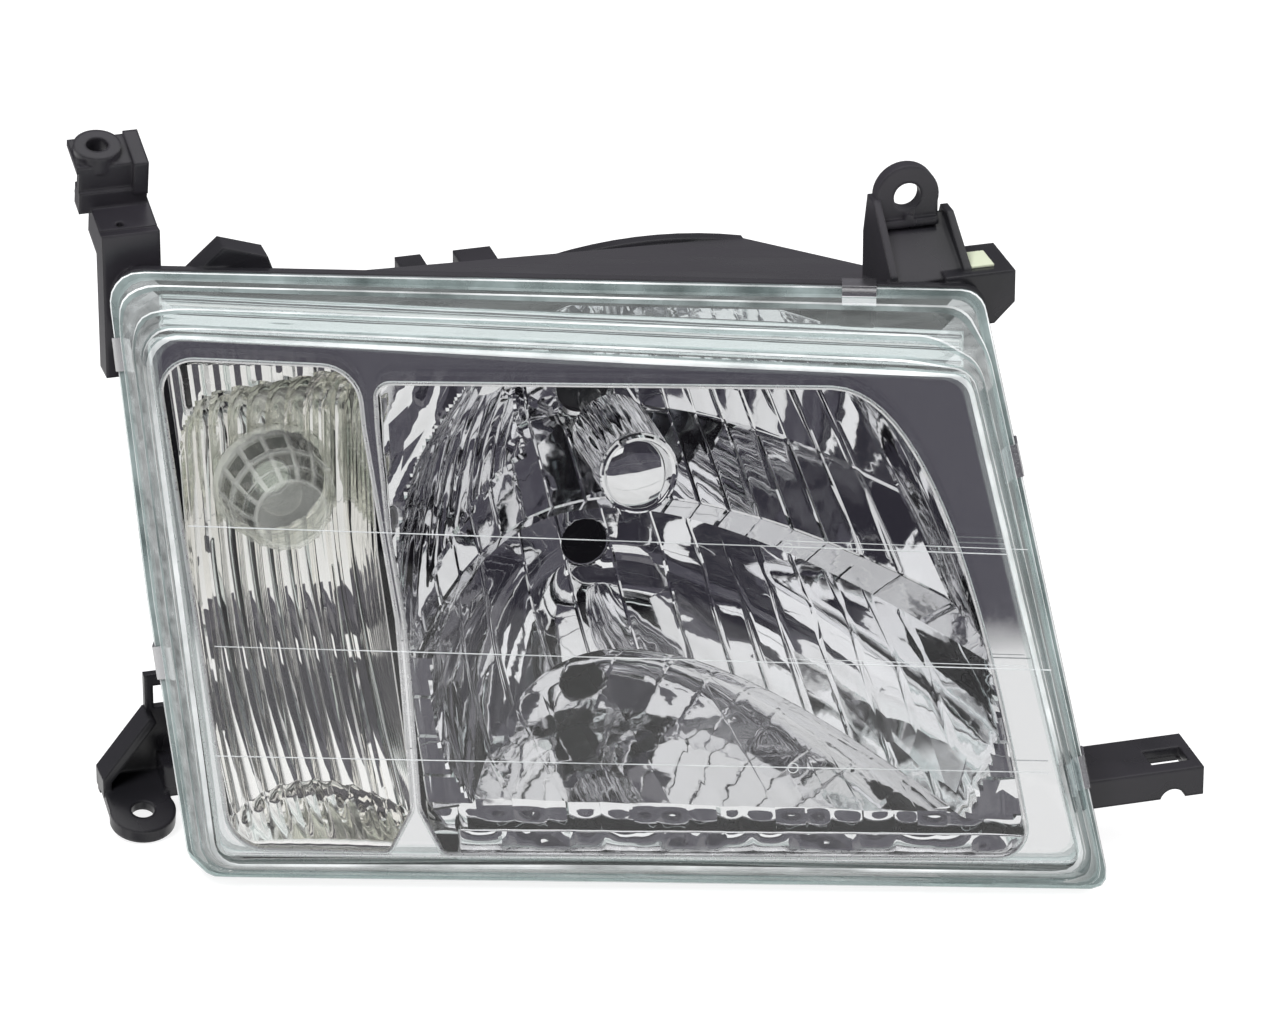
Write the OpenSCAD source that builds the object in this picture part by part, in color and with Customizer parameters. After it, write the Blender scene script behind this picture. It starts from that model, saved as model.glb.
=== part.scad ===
// Right-hand car headlight assembly with a glass lens, an aimable main reflector and a turn signal chamber.
// +X points inboard, -Y points forward out of the lens, +Z points up.
// The origin is the centre of the high-beam bulb seat, on the optical axis.

/* [Lens] */
// Sweep of the lens plane back towards the outboard side, in degrees
lens_sweep = 17; // [10:1:22]
// Lean of the lens plane back towards the top, in degrees
lens_lean = 13; // [8:1:16]
// Distance from the high-beam seat forward to the lens mounting plane
lens_forward = 150; // [146:1:156]
// Height of the glass face above the mounting plane
lens_rise = 25; // [22:1:30]
// Thickness of the glass
glass_t = 3.6; // [3:0.2:5]
// Width of a spring clip
clip_w = 13.6; // [10:0.2:18]

/* [Housing] */
// Wall thickness of the moulded housing
wall = 2.6; // [2:0.1:4]
// Plane of the rear wall's inner face behind the main reflector
rear_y = 56; // [54:1:60]
// Plane of the rear wall's inner face behind the turn signal
wing_y = -36.5; // [-38:0.5:-34]
// Diameter of the hole in the inboard upper lug
lug_hole_d = 11.5; // [8:0.5:13]
// Diameter of the hole in the outboard upper arm
arm_hole_d = 9; // [6:0.5:10]
// Diameter of the hole in the outboard lower foot
foot_hole_d = 9.6; // [7:0.2:11]

/* [Reflector] */
// Diameter of the high-beam bulb seat
high_seat_d = 19.8; // [18:0.2:22]
// Diameter of the low-beam bulb seat
low_seat_d = 22; // [20:0.2:24]
// Wall thickness of the reflector moulding
shell = 2.5; // [2:0.1:3.5]
// Height of the low-beam axis above the high-beam axis
low_z = 56; // [54:1:58]
// Depth of the low-beam bowl behind the high-beam seat
low_y = 30; // [26:1:32]

/* [Aiming] */
// Horizontal distance from the pivot ball to the horizontal adjuster
aim_arm_x = 107; // [100:1:110]
// Vertical distance from the pivot ball to the vertical adjuster
aim_arm_z = 138; // [130:1:140]
// Diameter of the pivot ball
pivot_ball_d = 12; // [10:0.5:13]
// Diameter of each adjuster ball
nut_ball_d = 10; // [9:0.5:10]

/* [Bulbs] */
// Diameter of the bulb shield
shield_d = 32; // [28:1:36]
// Diameter of the turn signal socket's neck
turn_socket_d = 31.8; // [30:0.2:33]

/* [Hidden] */
$fn = 48;

black_plastic = [0.09, 0.09, 0.10];
mirror_chrome = [0.82, 0.84, 0.86];
bright_steel = [0.74, 0.75, 0.76];
clear_glass = [0.72, 0.84, 0.82, 0.45];
nylon = [0.86, 0.86, 0.82];
soft_rubber = [0.14, 0.14, 0.15];

// Running clearance on the radius of a shaft in its hole
run = 0.08;
// Gap left between parts that only rest on one another
gap = 0.05;
// Small overlap that joins two solids of one part
lap = 0.5;

// ---- Outlines in the lens plane: [across, up, corner radius], counter-clockwise ----

flange_line = [[-190, -75, 8], [172, -77, 6], [117, 168, 10], [-229, 173, 12], [-214, 39, 0], [-199, -66, 4]];
face_line = [[-187, -64.5, 10], [162, -64.5, 8], [112, 138, 10], [-213, 152, 12]];
mouth_line = [[-188, -70, 8], [163, -71, 8], [111, 157, 8], [-219, 162, 12], [-205, 39, 0]];
bezel_line = [[-186, -64, 6], [160.4, -64.6, 6], [112, 136, 6], [-213, 149, 8]];
turn_window = [
    [-180, -60, 16], [-117.5, -61, 3], [-108.8, -44, 5], [-112.8, 9, 0], [-114.8, 34, 0], [-120.8, 71, 0],
    [-127.6, 112, 0], [-130, 136, 16], [-208, 139, 12]
];

function unit(v) = v / norm(v);
function xy(p) = [p.x, p.y];
function left_of(v) = [-v.y, v.x];

// One corner, rounded to radius r with an arc of n pieces
function corner(a, p, b, r, n = 5) =
    r <= 0 ? [p] :
    let (
        to_a = unit(a - p),
        to_b = unit(b - p),
        half = acos(to_a * to_b) / 2,
        centre = p + unit(to_a + to_b) * r / sin(half),
        start = p + to_a * r / tan(half) - centre,
        end = p + to_b * r / tan(half) - centre,
        from = atan2(start.y, start.x),
        turn = (atan2(end.y, end.x) - from + 540) % 360 - 180
    )
    [for (i = [0:n]) centre + r * [cos(from + turn * i / n), sin(from + turn * i / n)]];

function rounded(line) =
    let (n = len(line))
    [for (i = [0:n - 1]) each corner(xy(line[(i + n - 1) % n]), xy(line[i]), xy(line[(i + 1) % n]), line[i].z)];

// The same outline moved inwards by d
function inset(line, d) =
    let (n = len(line))
    [for (i = [0:n - 1]) let (
        p = xy(line[i]),
        n1 = left_of(unit(p - xy(line[(i + n - 1) % n]))),
        n2 = left_of(unit(xy(line[(i + 1) % n]) - p)),
        q = p + d * (n1 + n2) / (1 + n1 * n2)
    ) [q.x, q.y, max(0, line[i].z - (line[i].z > 0 ? d : 0))]];

function bezier(a, b, c, d, n) =
    [for (i = [0:n]) let (t = i / n, s = 1 - t)
        s * s * s * a + 3 * s * s * t * b + 3 * s * t * t * c + t * t * t * d];

// The main window, whose inboard side is one long curve
main_window = concat(
    corner([-104.4, -44], [-95, -62], [137.6, -61], 3),
    corner([-91, -62], [137.6, -61], [136, -40], 11),
    bezier([136, -45], [124, 15], [100, 128], [58, 129], 12),
    corner([58, 129], [-121.5, 129.5], [-120.6, 112], 5),
    [[-120.6, 112], [-116.6, 71], [-110.4, 34], [-108.2, 9]],
    corner([-108.2, 9], [-104.4, -44], [-95, -62], 5)
);

// The lens plane's own frame: x across, y up, z out of the lens
module on_lens_plane(height = 0) {
    translate([0, -lens_forward, 0]) rotate([90 - lens_lean, 0, -lens_sweep])
        translate([0, 0, height]) children();
}

module plate(points, from, to) {
    translate([0, 0, from]) linear_extrude(to - from) polygon(points);
}

// Forward distance of the lens plane at a point of the front view
function lens_plane_f(x, z) = lens_forward + x * tan(lens_sweep) - z * tan(lens_lean) / cos(lens_sweep);

// Cylinder and tube along Y, from y0 to y1, centred at [x, z]
module rod(at, y0, y1, r) {
    translate([at.x, y1, at.y]) rotate([90, 0, 0]) cylinder(r = r, h = y1 - y0);
}

module tube(at, y0, y1, r_out, r_in) {
    difference() {
        rod(at, y0, y1, r_out);
        rod(at, y0 - 1, y1 + 1, r_in);
    }
}

// Cylinder along X, reaching half each way from x
module cross_rod(at, y, half, r) {
    translate([at.x - half, y, at.y]) rotate([0, 90, 0]) cylinder(r = r, h = 2 * half);
}

module ball(at, y, r) {
    translate([at.x, y, at.y]) sphere(r = r);
}

module block(low, high) {
    translate(low) cube(high - low);
}

// ---- Places ----

high_at = [0, 0];
low_at = [8, low_z];
pivot_at = [-45, -50];
vertical_at = [pivot_at.x, pivot_at.y + aim_arm_z];
horizontal_at = [pivot_at.x + aim_arm_x, pivot_at.y];
ball_y = 15;
pivot_socket_r = pivot_ball_d / 2 + 3;
turn_at = [-145, 73];
low_cap_at = [10, 60];
high_cap_at = [-1, -5];
low_cap_r = 27;
high_cap_r = 24;
collar_t = 2.5;
outer_rear_y = rear_y + wall;
flange_back = -10;
rim_t = 4;
seal_t = 2.4;
lug_at = [105, 188];
lug_y = -104;
arm_at = [-203.6, 205.7];
arm_y = -15;
foot_at = [-203, -67];
foot_y = -60;
bolt_tip = 15;

// ---- Glass ----

module lens() {
    inner_depth = lens_rise - glass_t;
    color(clear_glass) on_lens_plane() difference() {
        union() {
            plate(rounded(flange_line), 0, rim_t);
            hull() {
                plate(rounded(inset(flange_line, 2)), rim_t - 1, rim_t);
                plate(rounded(face_line), lens_rise - 1, lens_rise);
            }
        }
        hull() {
            plate(rounded(inset(flange_line, 2 + glass_t)), -1, 0.5);
            plate(rounded(inset(face_line, glass_t)), inner_depth - 1, inner_depth);
        }
    }
}

module lens_seal() {
    color(soft_rubber) on_lens_plane() difference() {
        plate(rounded(inset(flange_line, 1)), -seal_t - gap, -gap);
        plate(rounded(inset(mouth_line, -0.5)), -seal_t - 1, 1);
    }
}

// Point and outward direction at share t of side i of the lens flange
function side_point(i, t) = let (n = len(flange_line))
    xy(flange_line[i]) * (1 - t) + xy(flange_line[(i + 1) % n]) * t;
function side_angle(i) = let (
    n = len(flange_line),
    along = unit(xy(flange_line[(i + 1) % n]) - xy(flange_line[i]))
) atan2(-along.x, along.y);

module spring_clip() {
    steel = 0.9;
    lens_hook = 1.9;
    flange_hook = 0.9;
    low = flange_back - gap;
    high = rim_t + gap;
    rotate([90, 0, 0]) translate([0, 0, -clip_w / 2]) linear_extrude(clip_w) polygon([
        [-lens_hook, high], [gap, high], [gap, low], [-flange_hook, low],
        [-flange_hook, low - steel], [gap + steel, low - steel],
        [gap + steel, high + steel], [-lens_hook, high + steel]
    ]);
}

clip_places = [[1, 0.2], [1, 0.72], [2, 0.14], [3, 0.25], [4, 0.24]];

module lens_clips() {
    color(bright_steel) on_lens_plane() for (place = clip_places) {
        p = side_point(place[0], place[1]);
        translate([p.x, p.y, 0]) rotate(side_angle(place[0])) spring_clip();
    }
}

// ---- Bezel ----

bezel_h = 10;
bezel_t = 2;
// Two screw tabs along the top edge: [across, up, height where its boss meets the housing]
bezel_tabs = [[-150, 150, 160], [60, 143, 163]];
tab_h = -6;
screw_r = 1.6;

module bezel() {
    color(mirror_chrome) on_lens_plane() {
        difference() {
            plate(rounded(bezel_line), bezel_h, bezel_h + bezel_t);
            plate(rounded(turn_window), 0, bezel_h + bezel_t + 1);
            plate(main_window, 0, bezel_h + bezel_t + 1);
        }
        difference() {
            plate(rounded(inset(bezel_line, 0.8)), tab_h, bezel_h + lap);
            plate(rounded(inset(bezel_line, 2.6)), tab_h - 1, bezel_h + 1);
        }
        // rolled lip around the turn window
        difference() {
            plate(rounded(inset(turn_window, -1.6)), bezel_h - 4, bezel_h + lap);
            plate(rounded(turn_window), 0, bezel_h + bezel_t + 1);
        }
        for (tab = bezel_tabs) translate([tab.x, tab.y, tab_h]) difference() {
            translate([-6, -7.5, 0]) cube([12, 12, 2]);
            translate([0, 0, -1]) cylinder(d = 4, h = 4);
        }
    }
}

module bezel_screws() {
    color(bright_steel) on_lens_plane() for (tab = bezel_tabs)
        translate([tab.x, tab.y, tab_h]) {
            translate([0, 0, -7]) cylinder(r = screw_r, h = 7 + 2 + gap + lap);
            translate([0, 0, 2 + gap]) cylinder(r = 3, h = 2);
        }
}

// ---- Housing ----

main_part = [[-150, -74, 4], [170, -75, 6], [116, 166, 8], [-150, 170, 4]];
wing_part = [[-188, -73, 6], [-100, -74, 4], [-100, 169, 4], [-227, 171, 10], [-212, 39, 0], [-197, -64, 4]];

// A box that tapers from an outline in the lens plane to a rectangle in a plane across Y
module taper(line, low, high, y, thick) {
    hull() {
        on_lens_plane(flange_back + 1) linear_extrude(1) polygon(rounded(line));
        block([low.x, y - thick, low.y], [high.x, y, high.y]);
    }
}

module housing_shell() {
    main_low = [-105, -64];
    main_high = [86, 102];
    wing_low = [-184, -46];
    wing_high = [-106, 120];
    difference() {
        union() {
            taper(main_part, main_low, main_high, outer_rear_y, 1);
            taper(wing_part, wing_low, wing_high, wing_y + wall, 1);
            on_lens_plane() plate(rounded(flange_line), flange_back, -seal_t - 2 * gap);
            top_features();
        }
        taper(inset(main_part, wall), main_low + [wall, wall], main_high - [wall, wall], rear_y, 1);
        taper(inset(wing_part, wall), wing_low + [wall, wall], wing_high - [wall, wall], wing_y, 1);
        on_lens_plane() plate(rounded(mouth_line), flange_back - 6, 1);
    }
}

// Upper inboard lug: an upright ear at the back of a ramp, with a gusset each side
module inboard_lug() {
    ear_t = 6;
    ear_r = 13;
    ramp_front = -132;
    ramp_low = 162;
    ramp_high = lug_at.y - 10;
    left = lug_at.x - ear_r + 0.4;
    right = lug_at.x + ear_r + 6;
    rod(lug_at, lug_y - ear_t / 2, lug_y + ear_t / 2, ear_r);
    block([left, lug_y - ear_t / 2, 132], [right - 6.4, lug_y + ear_t / 2, lug_at.y]);
    // ramp and the crossbar at its top
    translate([left, 0, 0]) rotate([90, 0, 90]) linear_extrude(right - left) polygon([
        [ramp_front, ramp_low], [lug_y + 2, ramp_high], [lug_y + 2, ramp_high - 30], [ramp_front, ramp_low - 8]
    ]);
    rod([lug_at.x, ramp_high + 1], lug_y - ear_t / 2 - 3, lug_y, 2);
    block([left, lug_y - 6, ramp_high - 2], [lug_at.x + ear_r - 1, lug_y, ramp_high + 1]);
    // gussets
    for (x = [left - 2, right - 3]) translate([x, 0, 0]) rotate([90, 0, 90]) linear_extrude(3) polygon([
        [ramp_front, ramp_low + 3], [lug_y - 4, x < lug_at.x ? lug_at.y : ramp_high + 2],
        [lug_y + 4, x < lug_at.x ? lug_at.y : ramp_high + 2], [lug_y + 9, ramp_high - 8],
        [lug_y + 9, ramp_high - 40], [ramp_front, ramp_low - 12]
    ]);
}

// Block at the inboard top corner, behind the flange
corner_low = [112, -136, 142];
corner_high = [141, -108, 164];

// The outboard bolting faces tip forward by this angle
module tipped(at, y) {
    translate([at.x, y, at.y]) rotate([bolt_tip, 0, 0]) children();
}

// A stair of faces from the housing corner up to a bolting plate
module outboard_arm() {
    tipped(arm_at, arm_y) {
        block([-10, -9, -3], [13, 10, 0]);
        cylinder(r = 9.5, h = 8, center = true);
        block([12.5, -12, -14], [18.5, 10, 1.5]);
        block([-9, -9, -14], [14, -5, -1]);
        block([-9, -10.5, -22], [18.5, -2, -12]);
        translate([-4, -6, -17]) rotate([90, 0, 0]) cylinder(r = 5, h = 9, center = true);
        block([-4, -25, -23], [19.5, -6, -20]);
        block([-4, -25, -34], [-1, -6, -20]);
        block([16.5, -25, -34], [19.5, -6, -20]);
    }
    leg_front = -39;
    leg_low = 118;
    leg_high = 179.6;
    block([arm_at.x - 4, leg_front, leg_low], [arm_at.x + 19.5, leg_front + 7, leg_high]);
    block([arm_at.x - 4, leg_front, leg_low], [arm_at.x - 0.8, leg_front + 12, leg_high - 4]);
    block([arm_at.x + 16.3, leg_front, leg_low], [arm_at.x + 19.5, leg_front + 12, leg_high - 4]);
}

module outboard_foot() {
    web_y = wing_y + 1;
    tipped(foot_at, foot_y) {
        translate([0, 0, -4.5]) cylinder(r = 13.5, h = 4.5);
        block([-13.2, 0, -4.5], [12.8, 26, 0]);
        // rim round the plate
        difference() {
            translate([0, 0, -6]) cylinder(r = 13.5, h = 6);
            translate([0, 0, -7]) cylinder(r = 11, h = 9);
            block([-14, 1, -7], [14, 14, 1]);
        }
    }
    // upright web with a square eye at its top
    translate([0, web_y + 2, 0]) rotate([90, 0, 0]) linear_extrude(4) difference() {
        polygon([
            [foot_at.x - 13, foot_at.y - 2], [foot_at.x - 13, foot_at.y + 8], [-196, -34], [-196, -18],
            [-178, -18], [-178, foot_at.y - 4]
        ]);
        polygon([[-192.5, -23], [-186, -23], [-186, -33], [-192.5, -33]]);
    }
    // rim along the outer edge of the web
    translate([0, web_y + 2, 0]) rotate([90, 0, 0]) linear_extrude(14) polygon([
        [foot_at.x - 13.5, foot_at.y + 1], [foot_at.x - 13.5, foot_at.y + 9], [-196.5, -33], [-193.5, -35],
        [foot_at.x - 10, foot_at.y + 7], [foot_at.x - 10, foot_at.y + 1]
    ]);
    block([-192, foot_y + 8, foot_at.y], [-180, web_y + 2, foot_at.y + 14]);
}

// Shelf with a window, and a lip along its front
module inboard_tab() {
    y0 = -190;
    y1 = -160;
    top = -41;
    end = 208;
    difference() {
        union() {
            block([145.5, y0, top - 4], [end, y1, top]);
            block([150, y0, top - 12.5], [end, y0 + 4, top]);
            block([150, y1 - 4, top - 10], [end, y1, top]);
            block([end - 3, y0, top - 8], [end, y1, top]);
        }
        block([188, y0 + 7, top - 6], [204, y1 - 11, top + 1]);
        translate([195, y0 - 1, top - 14]) rotate([-90, 0, 0]) cylinder(r = 5.5, h = 7);
    }
}

module top_features() {
    // gabled bump behind the flange
    translate([0, -38, 0]) rotate([90, 0, 0]) linear_extrude(12) polygon([
        [-178, 128], [-178, 159], [-161, 174], [-143, 168], [-140, 159], [-140, 128]
    ]);
    // screwdriver guide above the vertical adjuster, with a notch
    difference() {
        block([-63, 44, 96], [-22, 64, 109]);
        block([-47, 40, 104], [-38, 70, 120]);
        block([-52, 52, 90], [-38, 70, 120]);
    }
    // shallow vault over the low beam
    intersection() {
        union() {
            translate([42, outer_rear_y, -94]) rotate([90, 0, 0]) cylinder(r = 200, h = 66);
            translate([42, outer_rear_y, -92]) rotate([90, 0, 0]) cylinder(r = 200, h = 6);
        }
        block([-14, -20, 92], [86, outer_rear_y, 112]);
    }
}

// Bosses under the top wall that take the bezel screws
module bezel_bosses() {
    boss_back = -15;
    on_lens_plane() for (tab = bezel_tabs) difference() {
        translate([tab.x - 4, tab.y - 4, boss_back]) cube([8, tab.z - tab.y + 4, tab_h - gap - boss_back]);
        translate([tab.x, tab.y, boss_back - 1]) cylinder(r = screw_r + gap, h = 20);
    }
}

module aim_bosses() {
    rod(pivot_at, 44, outer_rear_y, 8);
    for (at = [vertical_at, horizontal_at]) rod(at, 50, outer_rear_y + 2, 9);
}

module housing() {
    color(black_plastic) difference() {
        union() {
            housing_shell();
            inboard_lug();
            difference() {
                block(corner_low, corner_high);
                block(corner_low + [3, 3, -1], corner_high - [3, 3, 3]);
                translate([corner_high.x, 0, corner_low.z]) rotate([90, 45, 0]) cube([12, 12, 400], center = true);
            }
            outboard_arm();
            outboard_foot();
            inboard_tab();
            bezel_bosses();
            aim_bosses();
            rod(low_cap_at, rear_y, rear_y + 11, low_cap_r + collar_t);
            rod(high_cap_at, rear_y, rear_y + 11, high_cap_r + collar_t);
            rod(turn_at, wing_y - 4, wing_y + wall, 21);
        }
        rod(low_cap_at, rear_y - 10, rear_y + 20, low_cap_r);
        rod(high_cap_at, rear_y - 10, rear_y + 20, high_cap_r);
        rod(turn_at, wing_y - 10, wing_y + 10, turn_socket_d / 2 + run);
        rod(lug_at, lug_y - 10, lug_y + 10, lug_hole_d / 2);
        tipped(arm_at, arm_y) {
            cylinder(d = arm_hole_d, h = 20, center = true);
            translate([5, -22, -30]) cylinder(r = 1.6, h = 20);
        }
        tipped(foot_at, foot_y) cylinder(d = foot_hole_d, h = 20, center = true);
        rod(pivot_at, 40, outer_rear_y + 5, 3);
        for (at = [vertical_at, horizontal_at]) rod(at, 40, outer_rear_y + 10, 5);
        rod(vertical_at, outer_rear_y + 2, outer_rear_y + 10, 11.6);
    }
}

module corner_pad() {
    color([0.80, 0.82, 0.70])
        block([124.5, -130, corner_high.z + gap], [134, -116, corner_high.z + 1]);
}

// ---- Reflectors: rows of points from the apron up, as [height, drop of the back sheet, kind] ----

roof_z = 14;

// Height of the mirror floor, which slopes gently down towards the front
function floor_at(f) = -34.7 - 0.07 * f;
function high_bowl_f(x, z) = x * x / 78 + pow(min(0, z), 2) / 44;
function low_bowl_f(x, z) = -low_y + pow(x - low_at.x, 2) / 98 + pow(z - low_at.y, 2) / 80;
function front_f(x, z) = lens_plane_f(x, z) - 1;

function main_f(x, z, kind) =
    kind == "apron" || kind == "floor front" ? front_f(x, z) - 6 :
    kind == "high" || kind == "floor back" ? min(front_f(x, z), high_bowl_f(x, z)) :
    min(front_f(x, z), low_bowl_f(x, z));
function row_z(row, x) =
    row[2] == "floor front" ? floor_at(front_f(x, row[0]) - 6) :
    row[2] == "floor back" ? floor_at(high_bowl_f(x, row[0])) :
    row[0];

function main_left(z) = -105 + 0.067 * max(0, 56 - z);
function main_right(z) = 134.5 - 0.0019 * pow(z + 40, 2) - 5 * min(1, max(0, (z + 6) / 20));

main_rows = concat(
    [[-59, 0, "apron"], [-45, shell, "floor front"], [-38, shell, "floor back"]],
    [for (z = [-24, -12, 0]) [z, 0, "high"]],
    [[roof_z, shell, "high"], [roof_z, shell, "low"]],
    [for (z = [28:14:126]) [z, 0, "low"]]
);
main_columns = 22;

turn_rows = concat(
    [[-57, 0, "apron"], [-40, shell, "apron"], [-40, shell, "bowl"]],
    [for (z = [-22:18:122]) [z, 0, "bowl"]],
    [[133, 0, "bowl"]]
);
turn_columns = 12;

function turn_f(x, z, kind) =
    let (
        side = max(0, abs(x - turn_at.x) - 25),
        rise = max(0, abs(z - turn_at.y) - 26),
        front = front_f(x, z)
    )
    kind == "apron" ? front :
    min(front, 55 + rise * rise / (z > turn_at.y ? 38 : 182) + side * side * (x > turn_at.x ? 0.7 : 0.06));
function turn_left(z) = -188.3 + 0.063 * (133 - z);
function turn_right(z) = -112 + 0.067 * max(0, 56 - z);

function row_point(row, s, main, back) =
    let (
        x0 = main ? main_left(row[0]) : turn_left(row[0]),
        x1 = main ? main_right(row[0]) : turn_right(row[0]),
        x = x0 + (x1 - x0) * s,
        z = row_z(row, x),
        f = main ? main_f(x, z, row[2]) : turn_f(x, z, row[2])
    )
    [x, -f + (back ? shell : 0), z - (back ? row[1] : 0)];

// A closed shell between a front grid of points and the same grid moved back
module moulded_sheet(rows, columns, main) {
    n = columns + 1;
    m = len(rows);
    total = n * m;
    points = [for (back = [false, true]) for (row = rows) for (i = [0:columns]) row_point(row, i / columns, main, back)];
    faces = concat(
        [for (j = [0:m - 2]) for (i = [0:columns - 1]) let (a = j * n + i)
            each [[a, a + n, a + n + 1], [a, a + n + 1, a + 1]]],
        [for (j = [0:m - 2]) for (i = [0:columns - 1]) let (a = total + j * n + i)
            each [[a, a + n + 1, a + n], [a, a + 1, a + n + 1]]],
        [for (i = [0:columns - 1]) let (a = i, b = (m - 1) * n + i)
            each [[a, a + 1, a + 1 + total], [a, a + 1 + total, a + total],
                [b, b + total, b + 1 + total], [b, b + 1 + total, b + 1]]],
        [for (j = [0:m - 2]) let (a = j * n, b = j * n + columns)
            each [[a, a + total, a + total + n], [a, a + total + n, a + n],
                [b, b + n, b + n + total], [b, b + n + total, b + total]]]
    );
    polyhedron(points, faces, convexity = 6);
}

// Upright web under the mirror floor that carries an aiming boss
module aim_web(at, y_front) {
    translate([at.x - 2, 0, 0]) rotate([90, 0, 90]) linear_extrude(4) polygon([
        [y_front, floor_at(-y_front) - 1.5], [y_front + 26, floor_at(-y_front - 26) - 1.5],
        [ball_y, at.y + 8], [ball_y, at.y - 6], [y_front, floor_at(-y_front) - 12]
    ]);
}

module main_reflector() {
    neck_r = 14;
    color(mirror_chrome) difference() {
        union() {
            moulded_sheet(main_rows, main_columns, true);
            rod(high_at, -1, 14, neck_r);
            rod(low_at, low_y - 1, low_y + 10, low_seat_d / 2 + 5);
            rod(vertical_at, -11, ball_y + 5, 11);
            rod(horizontal_at, ball_y - 13, ball_y + 5, 11);
            block([pivot_at.x - 12, ball_y - 12, pivot_at.y - 12], [pivot_at.x + 12, ball_y + 7, pivot_at.y + 12]);
            aim_web(horizontal_at, -122);
            aim_web(pivot_at, -100);
        }
        rod(high_at, -30, 20, high_seat_d / 2);
        rod(low_at, 0, 60, low_seat_d / 2 + run);
        for (at = [vertical_at, horizontal_at]) rod(at, ball_y - 8 - gap, ball_y + 10, 8 + gap);
        cross_rod(pivot_at, ball_y, 9 + gap, pivot_socket_r + run);
        block([pivot_at.x - 9 - gap, ball_y, pivot_at.y - 7], [pivot_at.x + 9 + gap, ball_y + 8, pivot_at.y + 7]);
    }
}

// ---- Bulb shield ----

shield_front = -59;
shield_back = -14;
shield_legs = [-127, 67];

module bulb_shield() {
    sheet = 0.8;
    r = shield_d / 2;
    color(mirror_chrome) {
        difference() {
            rod(low_at, shield_front, shield_back, r);
            rod(low_at, shield_front + sheet, shield_back + 1, r - sheet);
        }
        // flutes along the wall
        for (a = [0:15:345]) translate([low_at.x, 0, low_at.y]) rotate([0, a, 0])
            rod([0, r - 0.2], shield_front + 2, shield_back - 4, 0.7);
        // two legs back to the bowl
        for (a = shield_legs) translate([low_at.x, 0, low_at.y]) rotate([0, a, 0])
            block([-4, shield_back - 7, r - 1.3], [4, 18, r - 0.3]);
    }
}

module bulb_shield_screws() {
    color(bright_steel) for (a = shield_legs) translate([low_at.x, 0, low_at.y]) rotate([0, a, 0])
        rod([0, shield_d / 2 - 0.8], 18 + gap, 22, 1.8);
}

// ---- Low-beam bulb ----

bulb_face_y = low_y + 10;

module low_bulb_base() {
    color([0.16, 0.16, 0.17]) {
        rod(low_at, low_y + 1, bulb_face_y + 2, low_seat_d / 2);
        rod(low_at, bulb_face_y + 1.5, bulb_face_y + 6, 16);
        block([low_at.x - 10, bulb_face_y + 5, low_at.y - 7], [low_at.x + 10, bulb_face_y + 14, low_at.y + 7]);
    }
}

module low_bulb_seal() {
    color([0.45, 0.18, 0.12]) tube(low_at, bulb_face_y + gap, bulb_face_y + 1.5 - gap, 14.5, low_seat_d / 2 + 0.3);
}

module low_bulb_glass() {
    glass_r = 5.6;
    color(clear_glass) {
        rod(low_at, -12, low_y + 1 - gap, glass_r);
        ball(low_at, -12, glass_r);
    }
}

module low_bulb_filament() {
    // dark tip cap on the glass
    color([0.35, 0.35, 0.38]) tube(low_at, -12, -6, 6.2, 5.6 + gap);
}

module low_bulb_plug() {
    color(black_plastic) difference() {
        block([low_at.x - 12, bulb_face_y + 7, low_at.y - 9], [low_at.x + 12, bulb_face_y + 26, low_at.y + 9]);
        block([low_at.x - 10 - gap, 0, low_at.y - 7 - gap], [low_at.x + 10 + gap, bulb_face_y + 14 + gap, low_at.y + 7 + gap]);
    }
}

// ---- Turn signal ----

module turn_reflector() {
    color(mirror_chrome) difference() {
        moulded_sheet(turn_rows, turn_columns, false);
        rod(turn_at, -90, -30, 21.5);
    }
}

cover_back = -57.8;
cover_front = -91;

module turn_bulb_cover() {
    glass = 2;
    back_r = 25;
    front_r = 17;
    depth = cover_back - cover_front;
    color([0.88, 0.92, 0.82, 0.5]) translate([turn_at.x, cover_back, turn_at.y]) rotate([90, 0, 0])
        rotate_extrude() polygon([
            [19, 0], [back_r, 0], [back_r, 2], [back_r - 2.5, 3], [front_r, depth - 5], [front_r - 4, depth - 1],
            [0, depth], [0, depth - glass], [front_r - 5, depth - glass - 1.5], [front_r - glass, depth - 6],
            [20.5, 3]
        ]);
}

module turn_bulb_glass() {
    color(clear_glass) {
        rod(turn_at, -68, -54, 7);
        ball(turn_at, -70, 9);
    }
}

module turn_bulb_cap() {
    color(bright_steel) rod(turn_at, -54 + gap, -45 - gap, 7.5);
}

module turn_bulb_filament() {
    color([0.5, 0.5, 0.52]) tube(turn_at, -55, -53, 8.2, 7.6);
}

module turn_socket() {
    neck_r = turn_socket_d / 2;
    color([0.20, 0.20, 0.21]) {
        rod(turn_at, -45, wing_y + wall + 2, neck_r);
        rod(turn_at, wing_y + wall + 1.6, wing_y + wall + 6, 18.8);
        rod(turn_at, wing_y + wall + 5, wing_y + wall + 16, 14);
        for (a = [0:60:300]) translate([turn_at.x, 0, turn_at.y]) rotate([0, a, 0])
            block([12, wing_y + wall + 5, -2], [17, wing_y + wall + 14, 2]);
    }
}

module turn_socket_seal() {
    color([0.45, 0.18, 0.12])
        tube(turn_at, wing_y + wall + gap, wing_y + wall + 1.6 - gap, 18.4, turn_socket_d / 2 + 0.3);
}

module turn_socket_plug() {
    y0 = wing_y + wall + 16 + gap;
    color(black_plastic) block([turn_at.x - 9, y0, turn_at.y - 7], [turn_at.x + 9, y0 + 16, turn_at.y + 7]);
}

// ---- Aiming hardware ----

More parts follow.
